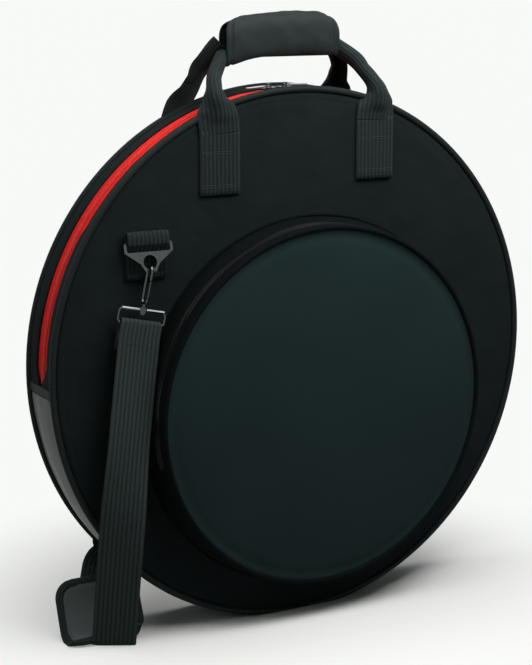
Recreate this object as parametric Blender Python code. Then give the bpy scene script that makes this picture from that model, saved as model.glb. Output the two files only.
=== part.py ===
import math

import bmesh
import bpy
from mathutils import Matrix, Vector

# Main sizes, in metres
BAG_DIAMETER = 0.600
GUSSET_WIDTH = 0.068
PANEL_THICKNESS = 0.006
GUSSET_THICKNESS = 0.003
GUSSET_INSET = 0.0005
PIPING_RADIUS = 0.0035
FLAT_BOTTOM_DROP_share = 0.0157
GAP = 0.0003
CLEARANCE = 0.0006
ARC_STEP_DEG = 5.0

# Main zip
ZIP_BAND_WIDTH = 0.028
ZIP_OFFSET_Y = -0.0033
ZIP_COIL_WIDTH = 0.0024
ZIP_COIL_HEIGHT = 0.0035
ZIP_TAPE_THICKNESS = 0.0015
ZIP_END_DEG = 0.8
ZIP_START_DEG = 1.0

# Zip sliders
SLIDER_LENGTH = 0.016
SLIDER_WIDTH = 0.0115
SLIDER_PLATE = 0.0012
SLIDER_FLANGE = 0.0012
SLIDER_ARCH_LENGTH = 0.0056
SLIDER_ARCH_WIDTH = 0.003
SLIDER_ARCH_WALL = 0.0012
PULL_LENGTH = 0.027
PULL_WIDTH = 0.009
PULL_THICKNESS = 0.0014
PULL_WINDOW_LENGTH = 0.0065
PULL_WINDOW_WIDTH = 0.005
PULL_BAR = 0.0014
LEFT_SLIDER_DEG = 94.6
RIGHT_SLIDER_DEG = 90.8

# Front pocket
POCKET_CENTRE_X = 0.012
POCKET_CENTRE_Z = 0.245
POCKET_BASE_RADIUS = 0.208
POCKET_FACE_RADIUS = 0.198
POCKET_DEPTH = 0.038
POCKET_WALL = 0.0035
POCKET_FACE_THICKNESS = 0.0035
POCKET_DOME = 0.006
POCKET_PIPING_RADIUS = 0.003
POCKET_ZIP_SET_share = 0.58
POCKET_ZIP_HALF = 0.0037
POCKET_LID_FROM_DEG = -15.0
POCKET_SLIDER_DEG = -3.0
POCKET_DOME_STEPS_shares = ((0.25, 0.5), (0.35, 0.3), (0.5, 0.2))

# Webbing and handle
WEBBING_WIDTH = 0.048
WEBBING_THICKNESS = 0.002
TAB_THICKNESS = 0.003
HANDLE_TAB_SPREAD = 0.194
BACK_TAB_SPREAD = 0.199
BACK_TAB_CENTRE_X = -0.0145
HANDLE_TAB_SET = 0.0023
HANDLE_TAB_HEIGHT = 0.068
GRIP_LENGTH = 0.147
GRIP_HEIGHT = 0.050
GRIP_DEPTH = 0.031
GRIP_SHEET = 0.003
GRIP_CENTRE_X = -0.004
GRIP_CENTRE_Y = 0.005
GRIP_RISE = 0.05271
GRIP_STRIP = 0.001
GRIP_FREE_EDGE_share = 0.82
GRIP_STRIP_WIDTH = 0.016
LEG_FOLDED_WIDTH = 0.015
LEG_FOLDED_THICKNESS = 0.007
LEG_STEPS = 10
LEG_END_shares = (0.24, 0.1)
LEG_BEND_shares = (0.25, 0.75, 0.6)
LEG_FOLD_shares = (0.25, 0.5)

# Ring tab and strap hanger
RING_TAB_OUT_share = 0.96875
RING_TAB_DROP = 0.0385
RING_BAR_RISE = 0.14321
RING_BAR_STANDOFF = 0.0063
RING_WIDTH = 0.056
RING_BOTTOM_WIDTH = 0.022
RING_BAR = 0.0038
RING_THICKNESS = 0.0026
RING_SLOT_HEIGHT = 0.0074
RING_SLOT_WIDTH = 0.0496
RING_HOLE_RADIUS = 0.0078
RING_HOLE_DROP = 0.0203
RING_DROP = 0.0306
RING_FOOT_share = 0.55
RING_CORNER_share = 0.8
RING_LEAN_DEG = 15.0
TAB_LOOP_RADIUS = 0.0029
TAB_LAYER = 0.0015
HOOK_WIRE = 0.0018
HOOK_HALF_WIDTH = 0.0056
HOOK_LENGTH = 0.039
HOOK_LEAN_X_share = -0.22
GATE_LENGTH = 0.018
GATE_RADIUS = 0.0012
PIN_RADIUS = 0.0018
PIN_HEAD_RADIUS = 0.003
PIN_HEAD_HEIGHT = 0.0014
BARREL_RADIUS = 0.0042
BARREL_BORE = 0.0021
BARREL_HEIGHT = 0.0065
LOOP_WIDTH = 0.054
LOOP_HEIGHT = 0.015
LOOP_WIRE = 0.0018

# Shoulder strap and pad
STRAP_FOOT_OUT_share = 0.79
STRAP_FOOT_FORWARD = 0.0105
STRAP_RETURN = 0.030
STRAP_STEPS = 8
STRAP_EXIT_SHIFT = 0.006
STRAP_BULGE = 0.020
STRAP_BOW_OUT = 0.003
STRAP_BOW_FORWARD = 0.0075
STRAP_TURN_shares = (0.35, 0.3)
PAD_WIDTH = 0.078
PAD_YAW_DEG = -29.0
PAD_THICKNESS = 0.010
PAD_FOOT_SHIFT = 0.0025
PAD_TOP_SHIFT = 0.0045
PAD_FOOT_FORWARD = 0.0015
PAD_REACH = 0.0575
PAD_TOP_Z = 0.058
PAD_BEND_shares = (0.2, 0.3)
PAD_WIDTH_shares = (0.86, 0.98, 1.0, 1.0, 1.0, 0.9)

# Far run of the strap past the rim: rise over the pad's top, distance outside the rim,
# distance behind the back panel, and the webbing's turn in degrees
FAR_RUN = (
    (0.006, 0.0317, -0.0140, -8.0),
    (0.012, 0.0235, -0.0040, 20.0),
    (0.020, 0.0085, 0.0050, 29.0),
    (0.032, -0.0120, 0.0110, 29.0),
    (0.052, -0.0350, 0.0190, 29.0),
)

# Places that follow from the sizes
BAG_RADIUS = BAG_DIAMETER / 2
CENTRE_Z = BAG_RADIUS * (1 - FLAT_BOTTOM_DROP_share)
BAG_TOP = CENTRE_Z + BAG_RADIUS
PANEL_Y = GUSSET_WIDTH / 2
RIM_RADIUS = BAG_RADIUS - PIPING_RADIUS
GUSSET_OUTER = RIM_RADIUS - GUSSET_INSET
GUSSET_INNER = GUSSET_OUTER - GUSSET_THICKNESS
PANEL_RADIUS = GUSSET_INNER - CLEARANCE
PIPING_Y = PANEL_Y - PIPING_RADIUS / 2
GUSSET_EDGE_Y = PIPING_Y - PIPING_RADIUS - GAP
ZIP_FRONT_Y = ZIP_OFFSET_Y - ZIP_BAND_WIDTH / 2
ZIP_BACK_Y = ZIP_OFFSET_Y + ZIP_BAND_WIDTH / 2
COIL_FRONT_Y = ZIP_OFFSET_Y - GAP - ZIP_COIL_WIDTH
COIL_BACK_Y = ZIP_OFFSET_Y + GAP + ZIP_COIL_WIDTH
COIL_OUTER = GUSSET_INNER + ZIP_COIL_HEIGHT
TAPE_INNER = GUSSET_INNER + GAP * 2
TAPE_OUTER = TAPE_INNER + ZIP_TAPE_THICKNESS
BAG_CENTRE = Vector((0, 0, CENTRE_Z))
POCKET_CENTRE = Vector((POCKET_CENTRE_X, 0, POCKET_CENTRE_Z))
POCKET_BACK_Y = -PANEL_Y - GAP
POCKET_FACE_Y = POCKET_BACK_Y - POCKET_DEPTH
POCKET_ZIP_Y = POCKET_BACK_Y - POCKET_DEPTH * POCKET_ZIP_SET_share
LID_CHORD_Z = POCKET_CENTRE_Z + POCKET_FACE_RADIUS * math.sin(math.radians(POCKET_LID_FROM_DEG))
LID_AXIS_Y = POCKET_FACE_Y - POCKET_FACE_THICKNESS - POCKET_DOME
GRIP_CENTRE_Z = BAG_TOP + GRIP_RISE
GRIP_BOTTOM = GRIP_CENTRE_Z - GRIP_HEIGHT / 2
GRIP_TOP = GRIP_CENTRE_Z + GRIP_HEIGHT / 2
GRIP_FRONT = GRIP_CENTRE_Y - GRIP_DEPTH / 2
GRIP_BACK = GRIP_CENTRE_Y + GRIP_DEPTH / 2
HANDLE_AXIS_Z = CENTRE_Z + RIM_RADIUS - PIPING_RADIUS
RING_TAB_X = POCKET_CENTRE_X - max(POCKET_BASE_RADIUS, POCKET_FACE_RADIUS) * RING_TAB_OUT_share
RING_BAR_Y = -PANEL_Y - RING_BAR_STANDOFF
RING_BAR_Z = CENTRE_Z + RING_BAR_RISE
RING_TAB_BOTTOM = RING_BAR_Z - RING_TAB_DROP
RING_DOWN = Vector((0, -math.sin(math.radians(RING_LEAN_DEG)), -math.cos(math.radians(RING_LEAN_DEG))))
RING_BAR_AT = Vector((RING_TAB_X, RING_BAR_Y, RING_BAR_Z))
RING_RIM = (RING_DROP + RING_HOLE_DROP + RING_HOLE_RADIUS) / 2
HOOK_CROSSING = RING_HOLE_DROP + RING_HOLE_RADIUS - HOOK_WIRE - CLEARANCE * 2
HOOK_DOWN = Vector((HOOK_LEAN_X_share, 0, -1)).normalized()
HOOK_OUT = Vector((0, -1, 0))
HOOK_TOP = RING_BAR_AT + RING_DOWN * (HOOK_CROSSING + HOOK_HALF_WIDTH) - HOOK_DOWN * HOOK_HALF_WIDTH
HOOK_TOP.x = RING_TAB_X
BARREL_TOP = HOOK_TOP + HOOK_DOWN * (HOOK_LENGTH + HOOK_WIRE * 2)
LOOP_ACROSS = Vector((-HOOK_DOWN.z, 0, HOOK_DOWN.x))
PAD_ACROSS = Matrix.Rotation(math.radians(PAD_YAW_DEG), 3, "Z") @ Vector((1, 0, 0))
LOOP_TOP = BARREL_TOP + HOOK_DOWN * BARREL_HEIGHT / 2
LOOP_BAR = LOOP_TOP + HOOK_DOWN * LOOP_HEIGHT
STRAP_FOOT_X = -BAG_RADIUS * STRAP_FOOT_OUT_share
STRAP_FOOT_Y = -PANEL_Y - STRAP_FOOT_FORWARD
PAD_BOTTOM_X = STRAP_FOOT_X - PAD_FOOT_SHIFT
PAD_BOTTOM_Y = STRAP_FOOT_Y - PAD_FOOT_FORWARD
PAD_TOP_X = STRAP_FOOT_X + PAD_TOP_SHIFT
PAD_TOP_Y = PAD_BOTTOM_Y + PAD_REACH
FLAP_AXIS = Vector((0, PANEL_Y, CENTRE_Z))
LID_AXIS = Vector((POCKET_CENTRE_X, LID_AXIS_Y, LID_CHORD_Z))
HANDLE_AXIS = Vector((GRIP_CENTRE_X, 0, HANDLE_AXIS_Z))
GRIP_FLAP_AXIS = Vector((GRIP_CENTRE_X, GRIP_FRONT + GRIP_SHEET / 2, GRIP_BOTTOM))

COLOURS = {
    "body_fabric": ((0.010, 0.014, 0.014, 1), 0.85, 0),
    "gusset_leatherette": ((0.030, 0.034, 0.032, 1), 0.45, 0),
    "pocket_leatherette": ((0.018, 0.028, 0.028, 1), 0.5, 0),
    "webbing": ((0.020, 0.028, 0.026, 1), 0.8, 0),
    "piping": ((0.012, 0.016, 0.016, 1), 0.6, 0),
    "zip_red": ((0.70, 0.045, 0.035, 1), 0.7, 0),
    "zip_black": ((0.012, 0.014, 0.014, 1), 0.6, 0),
    "nickel": ((0.55, 0.54, 0.52, 1), 0.25, 1),
    "gunmetal": ((0.10, 0.105, 0.10, 1), 0.3, 1),
    "hook_and_loop": ((0.008, 0.009, 0.009, 1), 0.95, 0),
}


def start_scene():
    for item in list(bpy.data.objects):
        bpy.data.objects.remove(item, do_unlink=True)
    bag = bpy.data.collections.new("cymbal_bag")
    bpy.context.scene.collection.children.link(bag)
    helpers = bpy.data.collections.new("cutters")
    helpers.hide_render = True
    bpy.context.scene.collection.children.link(helpers)
    return bag


def material(slot):
    known = bpy.data.materials.get(slot)
    if known:
        return known
    colour, roughness, metal = COLOURS[slot]
    made = bpy.data.materials.new(slot)
    made.use_nodes = True
    shader = made.node_tree.nodes["Principled BSDF"]
    shader.inputs["Base Color"].default_value = colour
    shader.inputs["Roughness"].default_value = roughness
    shader.inputs["Metallic"].default_value = metal
    made.diffuse_color = colour
    return made


BAG = start_scene()


def keep(bm, name, slot, origin=(0, 0, 0), smooth=True):
    bm.normal_update()
    bmesh.ops.recalc_face_normals(bm, faces=bm.faces[:])
    bmesh.ops.translate(bm, verts=bm.verts[:], vec=-Vector(origin))
    mesh = bpy.data.meshes.new(name)
    bm.to_mesh(mesh)
    bm.free()
    mesh.materials.append(material(slot))
    if smooth:
        mesh.shade_smooth()
        mesh.set_sharp_from_angle(angle=math.radians(35))
    made = bpy.data.objects.new(name, mesh)
    made.location = origin
    BAG.objects.link(made)
    return made


def mirrored(bm):
    other = bm.copy()
    for vert in other.verts:
        vert.co.y = -vert.co.y
    bmesh.ops.reverse_faces(other, faces=other.faces[:])
    other.normal_update()
    return other


def ring_point(centre, radius, degrees, y):
    turn = math.radians(degrees)
    return centre + Vector((radius * math.cos(turn), y, radius * math.sin(turn)))


def ring_sector(profile, centre, start=0.0, end=360.0):
    # A closed outline of (radius, y) points, turned about the line through the centre along Y
    bm = bmesh.new()
    corners = [bm.verts.new(ring_point(centre, radius, start, y)) for radius, y in profile]
    whole = end - start >= 360.0
    if whole:
        geometry = corners + [bm.edges.new(pair) for pair in zip(corners, corners[1:] + corners[:1])]
    else:
        face = bm.faces.new(corners)
        geometry = corners + list(face.edges) + [face]
    steps = max(1, round((end - start) / ARC_STEP_DEG))
    bmesh.ops.spin(bm, geom=geometry, cent=centre, axis=(0, -1, 0),
                   angle=math.radians(end - start), steps=steps)
    bmesh.ops.remove_doubles(bm, verts=bm.verts[:], dist=GAP / 30)
    bmesh.ops.recalc_face_normals(bm, faces=bm.faces[:])
    return bm


def cut_at(bm, height, keep_above):
    everything = bm.verts[:] + bm.edges[:] + bm.faces[:]
    cut = bmesh.ops.bisect_plane(bm, geom=everything, plane_co=(0, 0, height), plane_no=(0, 0, 1),
                                 clear_inner=keep_above, clear_outer=not keep_above)
    rim = [item for item in cut["geom_cut"] if isinstance(item, bmesh.types.BMEdge)]
    bmesh.ops.holes_fill(bm, edges=rim)
    return bm


def disc(centre, radius, y_low, y_high):
    bm = bmesh.new()
    steps = round(360.0 / ARC_STEP_DEG)
    rows = []
    for y in (y_low, y_high):
        corners = [ring_point(centre, radius, index * ARC_STEP_DEG, y) for index in range(steps)]
        rows.append([bm.verts.new(corner) for corner in corners])
    bm.faces.new(rows[0])
    bm.faces.new(rows[1][::-1])
    for index in range(steps):
        after = (index + 1) % steps
        bm.faces.new((rows[0][index], rows[0][after], rows[1][after], rows[1][index]))
    bmesh.ops.recalc_face_normals(bm, faces=bm.faces[:])
    return bm


def rectangle(r_low, r_high, y_low, y_high):
    return [(r_low, y_low), (r_high, y_low), (r_high, y_high), (r_low, y_high)]


def hexagon(radius, y, size):
    turns = [math.radians(60 * index) for index in range(6)]
    return [(radius + size * math.cos(turn), y + size * math.sin(turn)) for turn in turns]


def box_between(low, high):
    bm = bmesh.new()
    bmesh.ops.create_cube(bm, size=1)
    low, high = Vector(low), Vector(high)
    size = high - low
    bmesh.ops.scale(bm, vec=size, verts=bm.verts[:])
    bmesh.ops.translate(bm, vec=(low + high) / 2, verts=bm.verts[:])
    return bm


def profile_along(outline, start, across, up, along, length):
    # A flat closed outline in the plane of across and up, drawn out along the third direction
    bm = bmesh.new()
    near = [bm.verts.new(start + across * u + up * v) for u, v in outline]
    far = [bm.verts.new(vert.co + along * length) for vert in near]
    bm.faces.new(near)
    bm.faces.new(far[::-1])
    for index in range(len(near)):
        after = (index + 1) % len(near)
        bm.faces.new((near[index], near[after], far[after], far[index]))
    bmesh.ops.recalc_face_normals(bm, faces=bm.faces[:])
    return bm


def flat_plate(loops, thickness, centre, across, up):
    # An outline with any holes, as a filled flat curve that is extruded to its thickness
    curve = bpy.data.curves.new("outline", "CURVE")
    curve.dimensions = "2D"
    curve.fill_mode = "BOTH"
    curve.extrude = thickness / 2
    for loop in loops:
        spline = curve.splines.new("POLY")
        spline.points.add(len(loop) - 1)
        for point, (u, v) in zip(spline.points, loop):
            point.co = (u, v, 0, 1)
        spline.use_cyclic_u = True
    return curve_solid(curve, centre, across, up)


def curve_solid(curve, centre=Vector((0, 0, 0)), across=Vector((1, 0, 0)), up=Vector((0, 1, 0))):
    helper = bpy.data.objects.new("helper", curve)
    bpy.context.scene.collection.objects.link(helper)
    bpy.context.view_layer.update()
    mesh = bpy.data.meshes.new_from_object(helper.evaluated_get(bpy.context.evaluated_depsgraph_get()))
    bpy.data.objects.remove(helper, do_unlink=True)
    bm = bmesh.new()
    bm.from_mesh(mesh)
    bpy.data.meshes.remove(mesh)
    bmesh.ops.remove_doubles(bm, verts=bm.verts[:], dist=GAP / 30)
    normal = across.cross(up)
    place = Matrix((across, up, normal)).transposed().to_4x4()
    place.translation = centre
    bmesh.ops.transform(bm, matrix=place, verts=bm.verts[:])
    bmesh.ops.recalc_face_normals(bm, faces=bm.faces[:])
    return bm


def wire(points, radius, closed=False):
    curve = bpy.data.curves.new("wire", "CURVE")
    curve.dimensions = "3D"
    curve.bevel_depth = radius
    curve.bevel_resolution = 1
    curve.use_fill_caps = not closed
    spline = curve.splines.new("POLY")
    spline.points.add(len(points) - 1)
    for point, place in zip(spline.points, points):
        point.co = (*place, 1)
    spline.use_cyclic_u = closed
    return curve_solid(curve)


def rod(start, end, radius, sides=12):
    bm = bmesh.new()
    along = end - start
    bmesh.ops.create_cone(bm, cap_ends=True, segments=sides, radius1=radius, radius2=radius,
                          depth=along.length)
    turn = Vector((0, 0, 1)).rotation_difference(along).to_matrix().to_4x4()
    turn.translation = (start + end) / 2
    bmesh.ops.transform(bm, matrix=turn, verts=bm.verts[:])
    return bm


def combined(first, second, operation):
    pair = []
    for bm in (first, second):
        mesh = bpy.data.meshes.new("piece")
        bm.to_mesh(mesh)
        bm.free()
        helper = bpy.data.objects.new("piece", mesh)
        bpy.context.scene.collection.objects.link(helper)
        pair.append(helper)
    boolean = pair[0].modifiers.new("join", "BOOLEAN")
    boolean.operation = operation
    boolean.solver = "EXACT"
    boolean.object = pair[1]
    bpy.context.view_layer.update()
    mesh = bpy.data.meshes.new_from_object(pair[0].evaluated_get(bpy.context.evaluated_depsgraph_get()))
    for helper in pair:
        bpy.data.objects.remove(helper, do_unlink=True)
    bm = bmesh.new()
    bm.from_mesh(mesh)
    bpy.data.meshes.remove(mesh)
    bmesh.ops.remove_doubles(bm, verts=bm.verts[:], dist=GAP / 10)
    bmesh.ops.dissolve_degenerate(bm, edges=bm.edges[:], dist=GAP / 10)
    return bm


def ribbon(sections):
    # Each section is a centre, the direction across, the width and the thickness
    bm = bmesh.new()
    rows = []
    for index, (centre, across, width, thickness) in enumerate(sections):
        before = sections[max(index - 1, 0)][0]
        after = sections[min(index + 1, len(sections) - 1)][0]
        across = across.normalized()
        face = (after - before).normalized().cross(across).normalized()
        side, lift = across * width / 2, face * thickness / 2
        corners = (centre - side - lift, centre + side - lift, centre + side + lift, centre - side + lift)
        rows.append([bm.verts.new(corner) for corner in corners])
    bm.faces.new(rows[0])
    bm.faces.new(rows[-1][::-1])
    for low, high in zip(rows, rows[1:]):
        for index in range(4):
            after = (index + 1) % 4
            corners = [low[index], low[after], high[after], high[index]]
            if index > 1:
                corners = corners[1:] + corners[:1]
            bm.faces.new(corners)
    # Both wide faces are split along the same diagonal, so a twisted length keeps its thickness
    bmesh.ops.triangulate(bm, faces=bm.faces[:], quad_method="FIXED")
    bmesh.ops.recalc_face_normals(bm, faces=bm.faces[:])
    return bm


def curved(knots, count):
    # Points on a smooth line through the knots
    padded = [knots[0] * 2 - knots[1]] + knots + [knots[-1] * 2 - knots[-2]]
    points = []
    for index in range(count + 1):
        place = index / count * (len(knots) - 1)
        span = min(int(place), len(knots) - 2)
        t = place - span
        a, b, c, d = padded[span:span + 4]
        points.append((b * 2 + (c - a) * t + (a * 2 - b * 5 + c * 4 - d) * t * t
                       + (b * 3 - a - c * 3 + d) * t * t * t) / 2)
    return points


def make_shell():
    front = disc(BAG_CENTRE, PANEL_RADIUS, -PANEL_Y, PANEL_THICKNESS - PANEL_Y)
    keep(front, "front_panel", "body_fabric")
    for name, above in (("back_panel_lower", False), ("back_panel_upper", True)):
        panel = disc(BAG_CENTRE, PANEL_RADIUS, PANEL_Y - PANEL_THICKNESS, PANEL_Y)
        cut_at(panel, CENTRE_Z + (GAP if above else -GAP) / 2, above)
        keep(panel, name, "body_fabric", FLAP_AXIS if above else (0, 0, 0))
    side = rectangle(GUSSET_INNER, GUSSET_OUTER, -GUSSET_EDGE_Y, GUSSET_EDGE_Y)
    lower = ring_sector(side, BAG_CENTRE, 180 + ZIP_START_DEG, 360 - ZIP_START_DEG)
    keep(cut_at(lower, 0, True), "gusset_lower", "gusset_leatherette")
    raised = rectangle(GUSSET_INNER, GUSSET_OUTER + GUSSET_INSET, -GUSSET_EDGE_Y, GUSSET_EDGE_Y)
    for name, middle in (("zip_end_binding_right", 0), ("zip_end_binding_left", 180)):
        band = ring_sector(raised, BAG_CENTRE, middle - ZIP_END_DEG, middle + ZIP_END_DEG)
        keep(band, name, "body_fabric")


def make_rim():
    front = ring_sector(hexagon(RIM_RADIUS, -PIPING_Y, PIPING_RADIUS), BAG_CENTRE)
    keep(cut_at(front, 0, True), "front_rim_piping", "piping")
    lower = ring_sector(hexagon(RIM_RADIUS, PIPING_Y, PIPING_RADIUS), BAG_CENTRE, 180, 360)
    keep(cut_at(lower, 0, True), "back_rim_piping_lower", "piping")
    upper = ring_sector(hexagon(RIM_RADIUS, PIPING_Y, PIPING_RADIUS), BAG_CENTRE,
                        ZIP_START_DEG / 10, 180 - ZIP_START_DEG / 10)
    keep(upper, "back_rim_piping_upper", "piping", FLAP_AXIS)


def make_zip():
    start, end = ZIP_START_DEG, 180 - ZIP_START_DEG
    rows = (
        ("gusset_front_strip", "body_fabric", GUSSET_INNER, GUSSET_OUTER, -GUSSET_EDGE_Y, ZIP_FRONT_Y - GAP),
        ("zipper_tape_front", "zip_red", TAPE_INNER, TAPE_OUTER, ZIP_FRONT_Y, COIL_FRONT_Y - GAP),
        ("zipper_coil_front", "zip_red", GUSSET_INNER, COIL_OUTER, COIL_FRONT_Y, ZIP_OFFSET_Y - GAP),
        ("zipper_coil_back", "zip_red", GUSSET_INNER, COIL_OUTER, ZIP_OFFSET_Y + GAP, COIL_BACK_Y),
        ("zipper_tape_back", "zip_red", TAPE_INNER, TAPE_OUTER, COIL_BACK_Y + GAP, ZIP_BACK_Y),
        ("gusset_back_strip", "body_fabric", GUSSET_INNER, GUSSET_OUTER, ZIP_BACK_Y + GAP, GUSSET_EDGE_Y),
    )
    for name, slot, r_low, r_high, y_low, y_high in rows:
        strip = ring_sector(rectangle(r_low, r_high, y_low, y_high), BAG_CENTRE, start, end)
        keep(strip, name, slot, FLAP_AXIS if "back" in name else (0, 0, 0))


def slider_frame(centre, degrees):
    turn = math.radians(degrees)
    radial = Vector((math.cos(turn), 0, math.sin(turn)))
    forward = Vector((-math.sin(turn), 0, math.cos(turn)))
    return radial, forward


def bar_height(seat):
    return seat + SLIDER_PLATE + GAP * 2 + PULL_BAR / 2 + GAP


def make_slider(name, slot, centre, seat, y, degrees, flange_side):
    # The top plate with its flange on the fixed half of the zip, and the arch that holds the pull
    radial, forward = slider_frame(centre, degrees)
    middle = centre + Vector((0, y, 0))
    half = SLIDER_WIDTH / 2
    across = Vector((0, flange_side, 0))
    drop = seat - SLIDER_FLANGE
    outline = [(-half, seat), (half - SLIDER_PLATE, seat), (half - SLIDER_PLATE, drop),
               (half, drop), (half, seat + SLIDER_PLATE), (-half, seat + SLIDER_PLATE)]
    start = middle - forward * SLIDER_LENGTH / 2
    plate = profile_along(outline, start, across, radial, forward, SLIDER_LENGTH)
    outer = SLIDER_ARCH_LENGTH / 2
    inner = outer - SLIDER_ARCH_WALL
    low = seat + SLIDER_PLATE / 2
    roof = bar_height(seat) + PULL_BAR / 2 + GAP * 3
    staple = [(-outer, low), (-inner, low), (-inner, roof), (inner, roof), (inner, low),
              (outer, low), (outer, roof + SLIDER_ARCH_WALL), (-outer, roof + SLIDER_ARCH_WALL)]
    side = middle - across * SLIDER_ARCH_WIDTH / 2
    arch = profile_along(staple, side, forward, radial, across, SLIDER_ARCH_WIDTH)
    keep(combined(plate, arch, "UNION"), name, slot, centre, smooth=False)


def make_pull(name, slot, centre, seat, y, degrees, points_forward):
    # A flat frame whose end bar turns inside the slider's arch
    radial, forward = slider_frame(centre, degrees)
    away = forward if points_forward else -forward
    bar_at = centre + Vector((0, y, 0)) + radial * bar_height(seat)
    half, window = PULL_WIDTH / 2, PULL_WINDOW_WIDTH / 2
    near, far = -PULL_BAR / 2, PULL_LENGTH
    nip = PULL_WIDTH / 5
    outer = [(near, -half), (far - nip, -half), (far, -half + nip)]
    outer += [(far, half - nip), (far - nip, half), (near, half)]
    inner = [(-near, -window), (-near + PULL_WINDOW_LENGTH, -window),
             (-near + PULL_WINDOW_LENGTH, window), (-near, window)]
    pull = flat_plate([outer, inner], PULL_THICKNESS, bar_at, away, Vector((0, 1, 0)))
    keep(pull, name, slot, bar_at, smooth=False)


def make_sliders():
    seat = COIL_OUTER + GAP
    make_slider("left_slider_body", "nickel", BAG_CENTRE, seat, ZIP_OFFSET_Y, LEFT_SLIDER_DEG, -1)
    make_slider("right_slider_body", "nickel", BAG_CENTRE, seat, ZIP_OFFSET_Y, RIGHT_SLIDER_DEG, -1)
    make_pull("left_slider_pull", "nickel", BAG_CENTRE, seat, ZIP_OFFSET_Y, LEFT_SLIDER_DEG, True)
    make_pull("right_slider_pull", "nickel", BAG_CENTRE, seat, ZIP_OFFSET_Y, RIGHT_SLIDER_DEG, False)


def pocket_radius(y):
    share = (y - POCKET_BACK_Y) / (POCKET_FACE_Y - POCKET_BACK_Y)
    return POCKET_BASE_RADIUS + (POCKET_FACE_RADIUS - POCKET_BASE_RADIUS) * share


def pocket_band(y_back, y_front, lift=0.0):
    back, front = pocket_radius(y_back) + lift, pocket_radius(y_front) + lift
    return [(back - POCKET_WALL, y_back), (back, y_back), (front, y_front), (front - POCKET_WALL, y_front)]


def make_pocket_wall():
    lid = POCKET_LID_FROM_DEG
    rear = pocket_band(POCKET_BACK_Y, POCKET_ZIP_Y + POCKET_ZIP_HALF + GAP)
    keep(ring_sector(rear, POCKET_CENTRE), "pocket_wall_rear", "body_fabric")
    seat = POCKET_FACE_Y + GAP * 2
    lower = pocket_band(POCKET_ZIP_Y + POCKET_ZIP_HALF, seat)
    keep(ring_sector(lower, POCKET_CENTRE, 180 - lid, 360 + lid), "pocket_wall_lower_front", "body_fabric")
    shy = 2 * GAP / POCKET_BASE_RADIUS * 180 / math.pi
    upper = pocket_band(POCKET_ZIP_Y - POCKET_ZIP_HALF - GAP, seat)
    start, end = lid + shy, 180 - lid - shy
    keep(ring_sector(upper, POCKET_CENTRE, start, end), "pocket_lid_band", "body_fabric", LID_AXIS)
    back_half = pocket_band(POCKET_ZIP_Y + POCKET_ZIP_HALF, POCKET_ZIP_Y + GAP / 2)
    keep(ring_sector(back_half, POCKET_CENTRE, lid + shy, 180 - lid - shy), "pocket_zip_rear", "zip_black")
    front_half = pocket_band(POCKET_ZIP_Y - GAP / 2, POCKET_ZIP_Y - POCKET_ZIP_HALF)
    keep(ring_sector(front_half, POCKET_CENTRE, start, end), "pocket_zip_front", "zip_black", LID_AXIS)


def dome_disc():
    bm = disc(POCKET_CENTRE, POCKET_FACE_RADIUS - POCKET_PIPING_RADIUS * 2 - GAP,
              POCKET_FACE_Y - POCKET_FACE_THICKNESS, POCKET_FACE_Y)
    front = min(bm.faces, key=lambda face: face.calc_center_median().y)
    for inward, share in POCKET_DOME_STEPS_shares:
        bmesh.ops.inset_region(bm, faces=[front], thickness=0, use_even_offset=False)
        middle = POCKET_CENTRE + Vector((0, front.calc_center_median().y, 0))
        for vert in front.verts:
            vert.co = middle + (vert.co - middle) * (1 - inward)
            vert.co.y -= POCKET_DOME * share
    return bm


def make_pocket_face():
    lid = POCKET_LID_FROM_DEG
    for name, above in (("pocket_face_lower", False), ("pocket_face_upper", True)):
        face = cut_at(dome_disc(), LID_CHORD_Z + (GAP if above else -GAP) / 2, above)
        keep(face, name, "pocket_leatherette", LID_AXIS if above else (0, 0, 0))
    rim = POCKET_FACE_RADIUS - POCKET_PIPING_RADIUS
    bead = hexagon(rim, POCKET_FACE_Y - POCKET_PIPING_RADIUS + GAP, POCKET_PIPING_RADIUS)
    keep(ring_sector(bead, POCKET_CENTRE, 180 - lid, 360 + lid), "pocket_piping_lower", "piping")
    shy = 2 * GAP / POCKET_BASE_RADIUS * 180 / math.pi
    upper = ring_sector(bead, POCKET_CENTRE, lid + shy, 180 - lid - shy)
    keep(upper, "pocket_piping_upper", "piping", LID_AXIS)


def make_pocket_slider():
    half = SLIDER_WIDTH / 2
    seat = max(pocket_radius(POCKET_ZIP_Y + half), pocket_radius(POCKET_ZIP_Y - half)) + GAP * 2
    make_slider("pocket_slider_body", "gunmetal", POCKET_CENTRE, seat + SLIDER_FLANGE, POCKET_ZIP_Y,
                POCKET_SLIDER_DEG, 1)
    make_pull("pocket_slider_pull", "gunmetal", POCKET_CENTRE, seat + SLIDER_FLANGE, POCKET_ZIP_Y,
              POCKET_SLIDER_DEG, False)


def rim_height(x, radius):
    return CENTRE_Z + math.sqrt(radius * radius - x * x)


def tab_x(sign, y_sign):
    if y_sign < 0:
        return sign * HANDLE_TAB_SPREAD / 2
    return BACK_TAB_CENTRE_X + sign * BACK_TAB_SPREAD / 2


def tab_top(x):
    # Just under the rim's cord at the tab's outer corner
    return rim_height(abs(x) + WEBBING_WIDTH / 2, RIM_RADIUS - PIPING_RADIUS * 2) - HANDLE_TAB_SET


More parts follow.
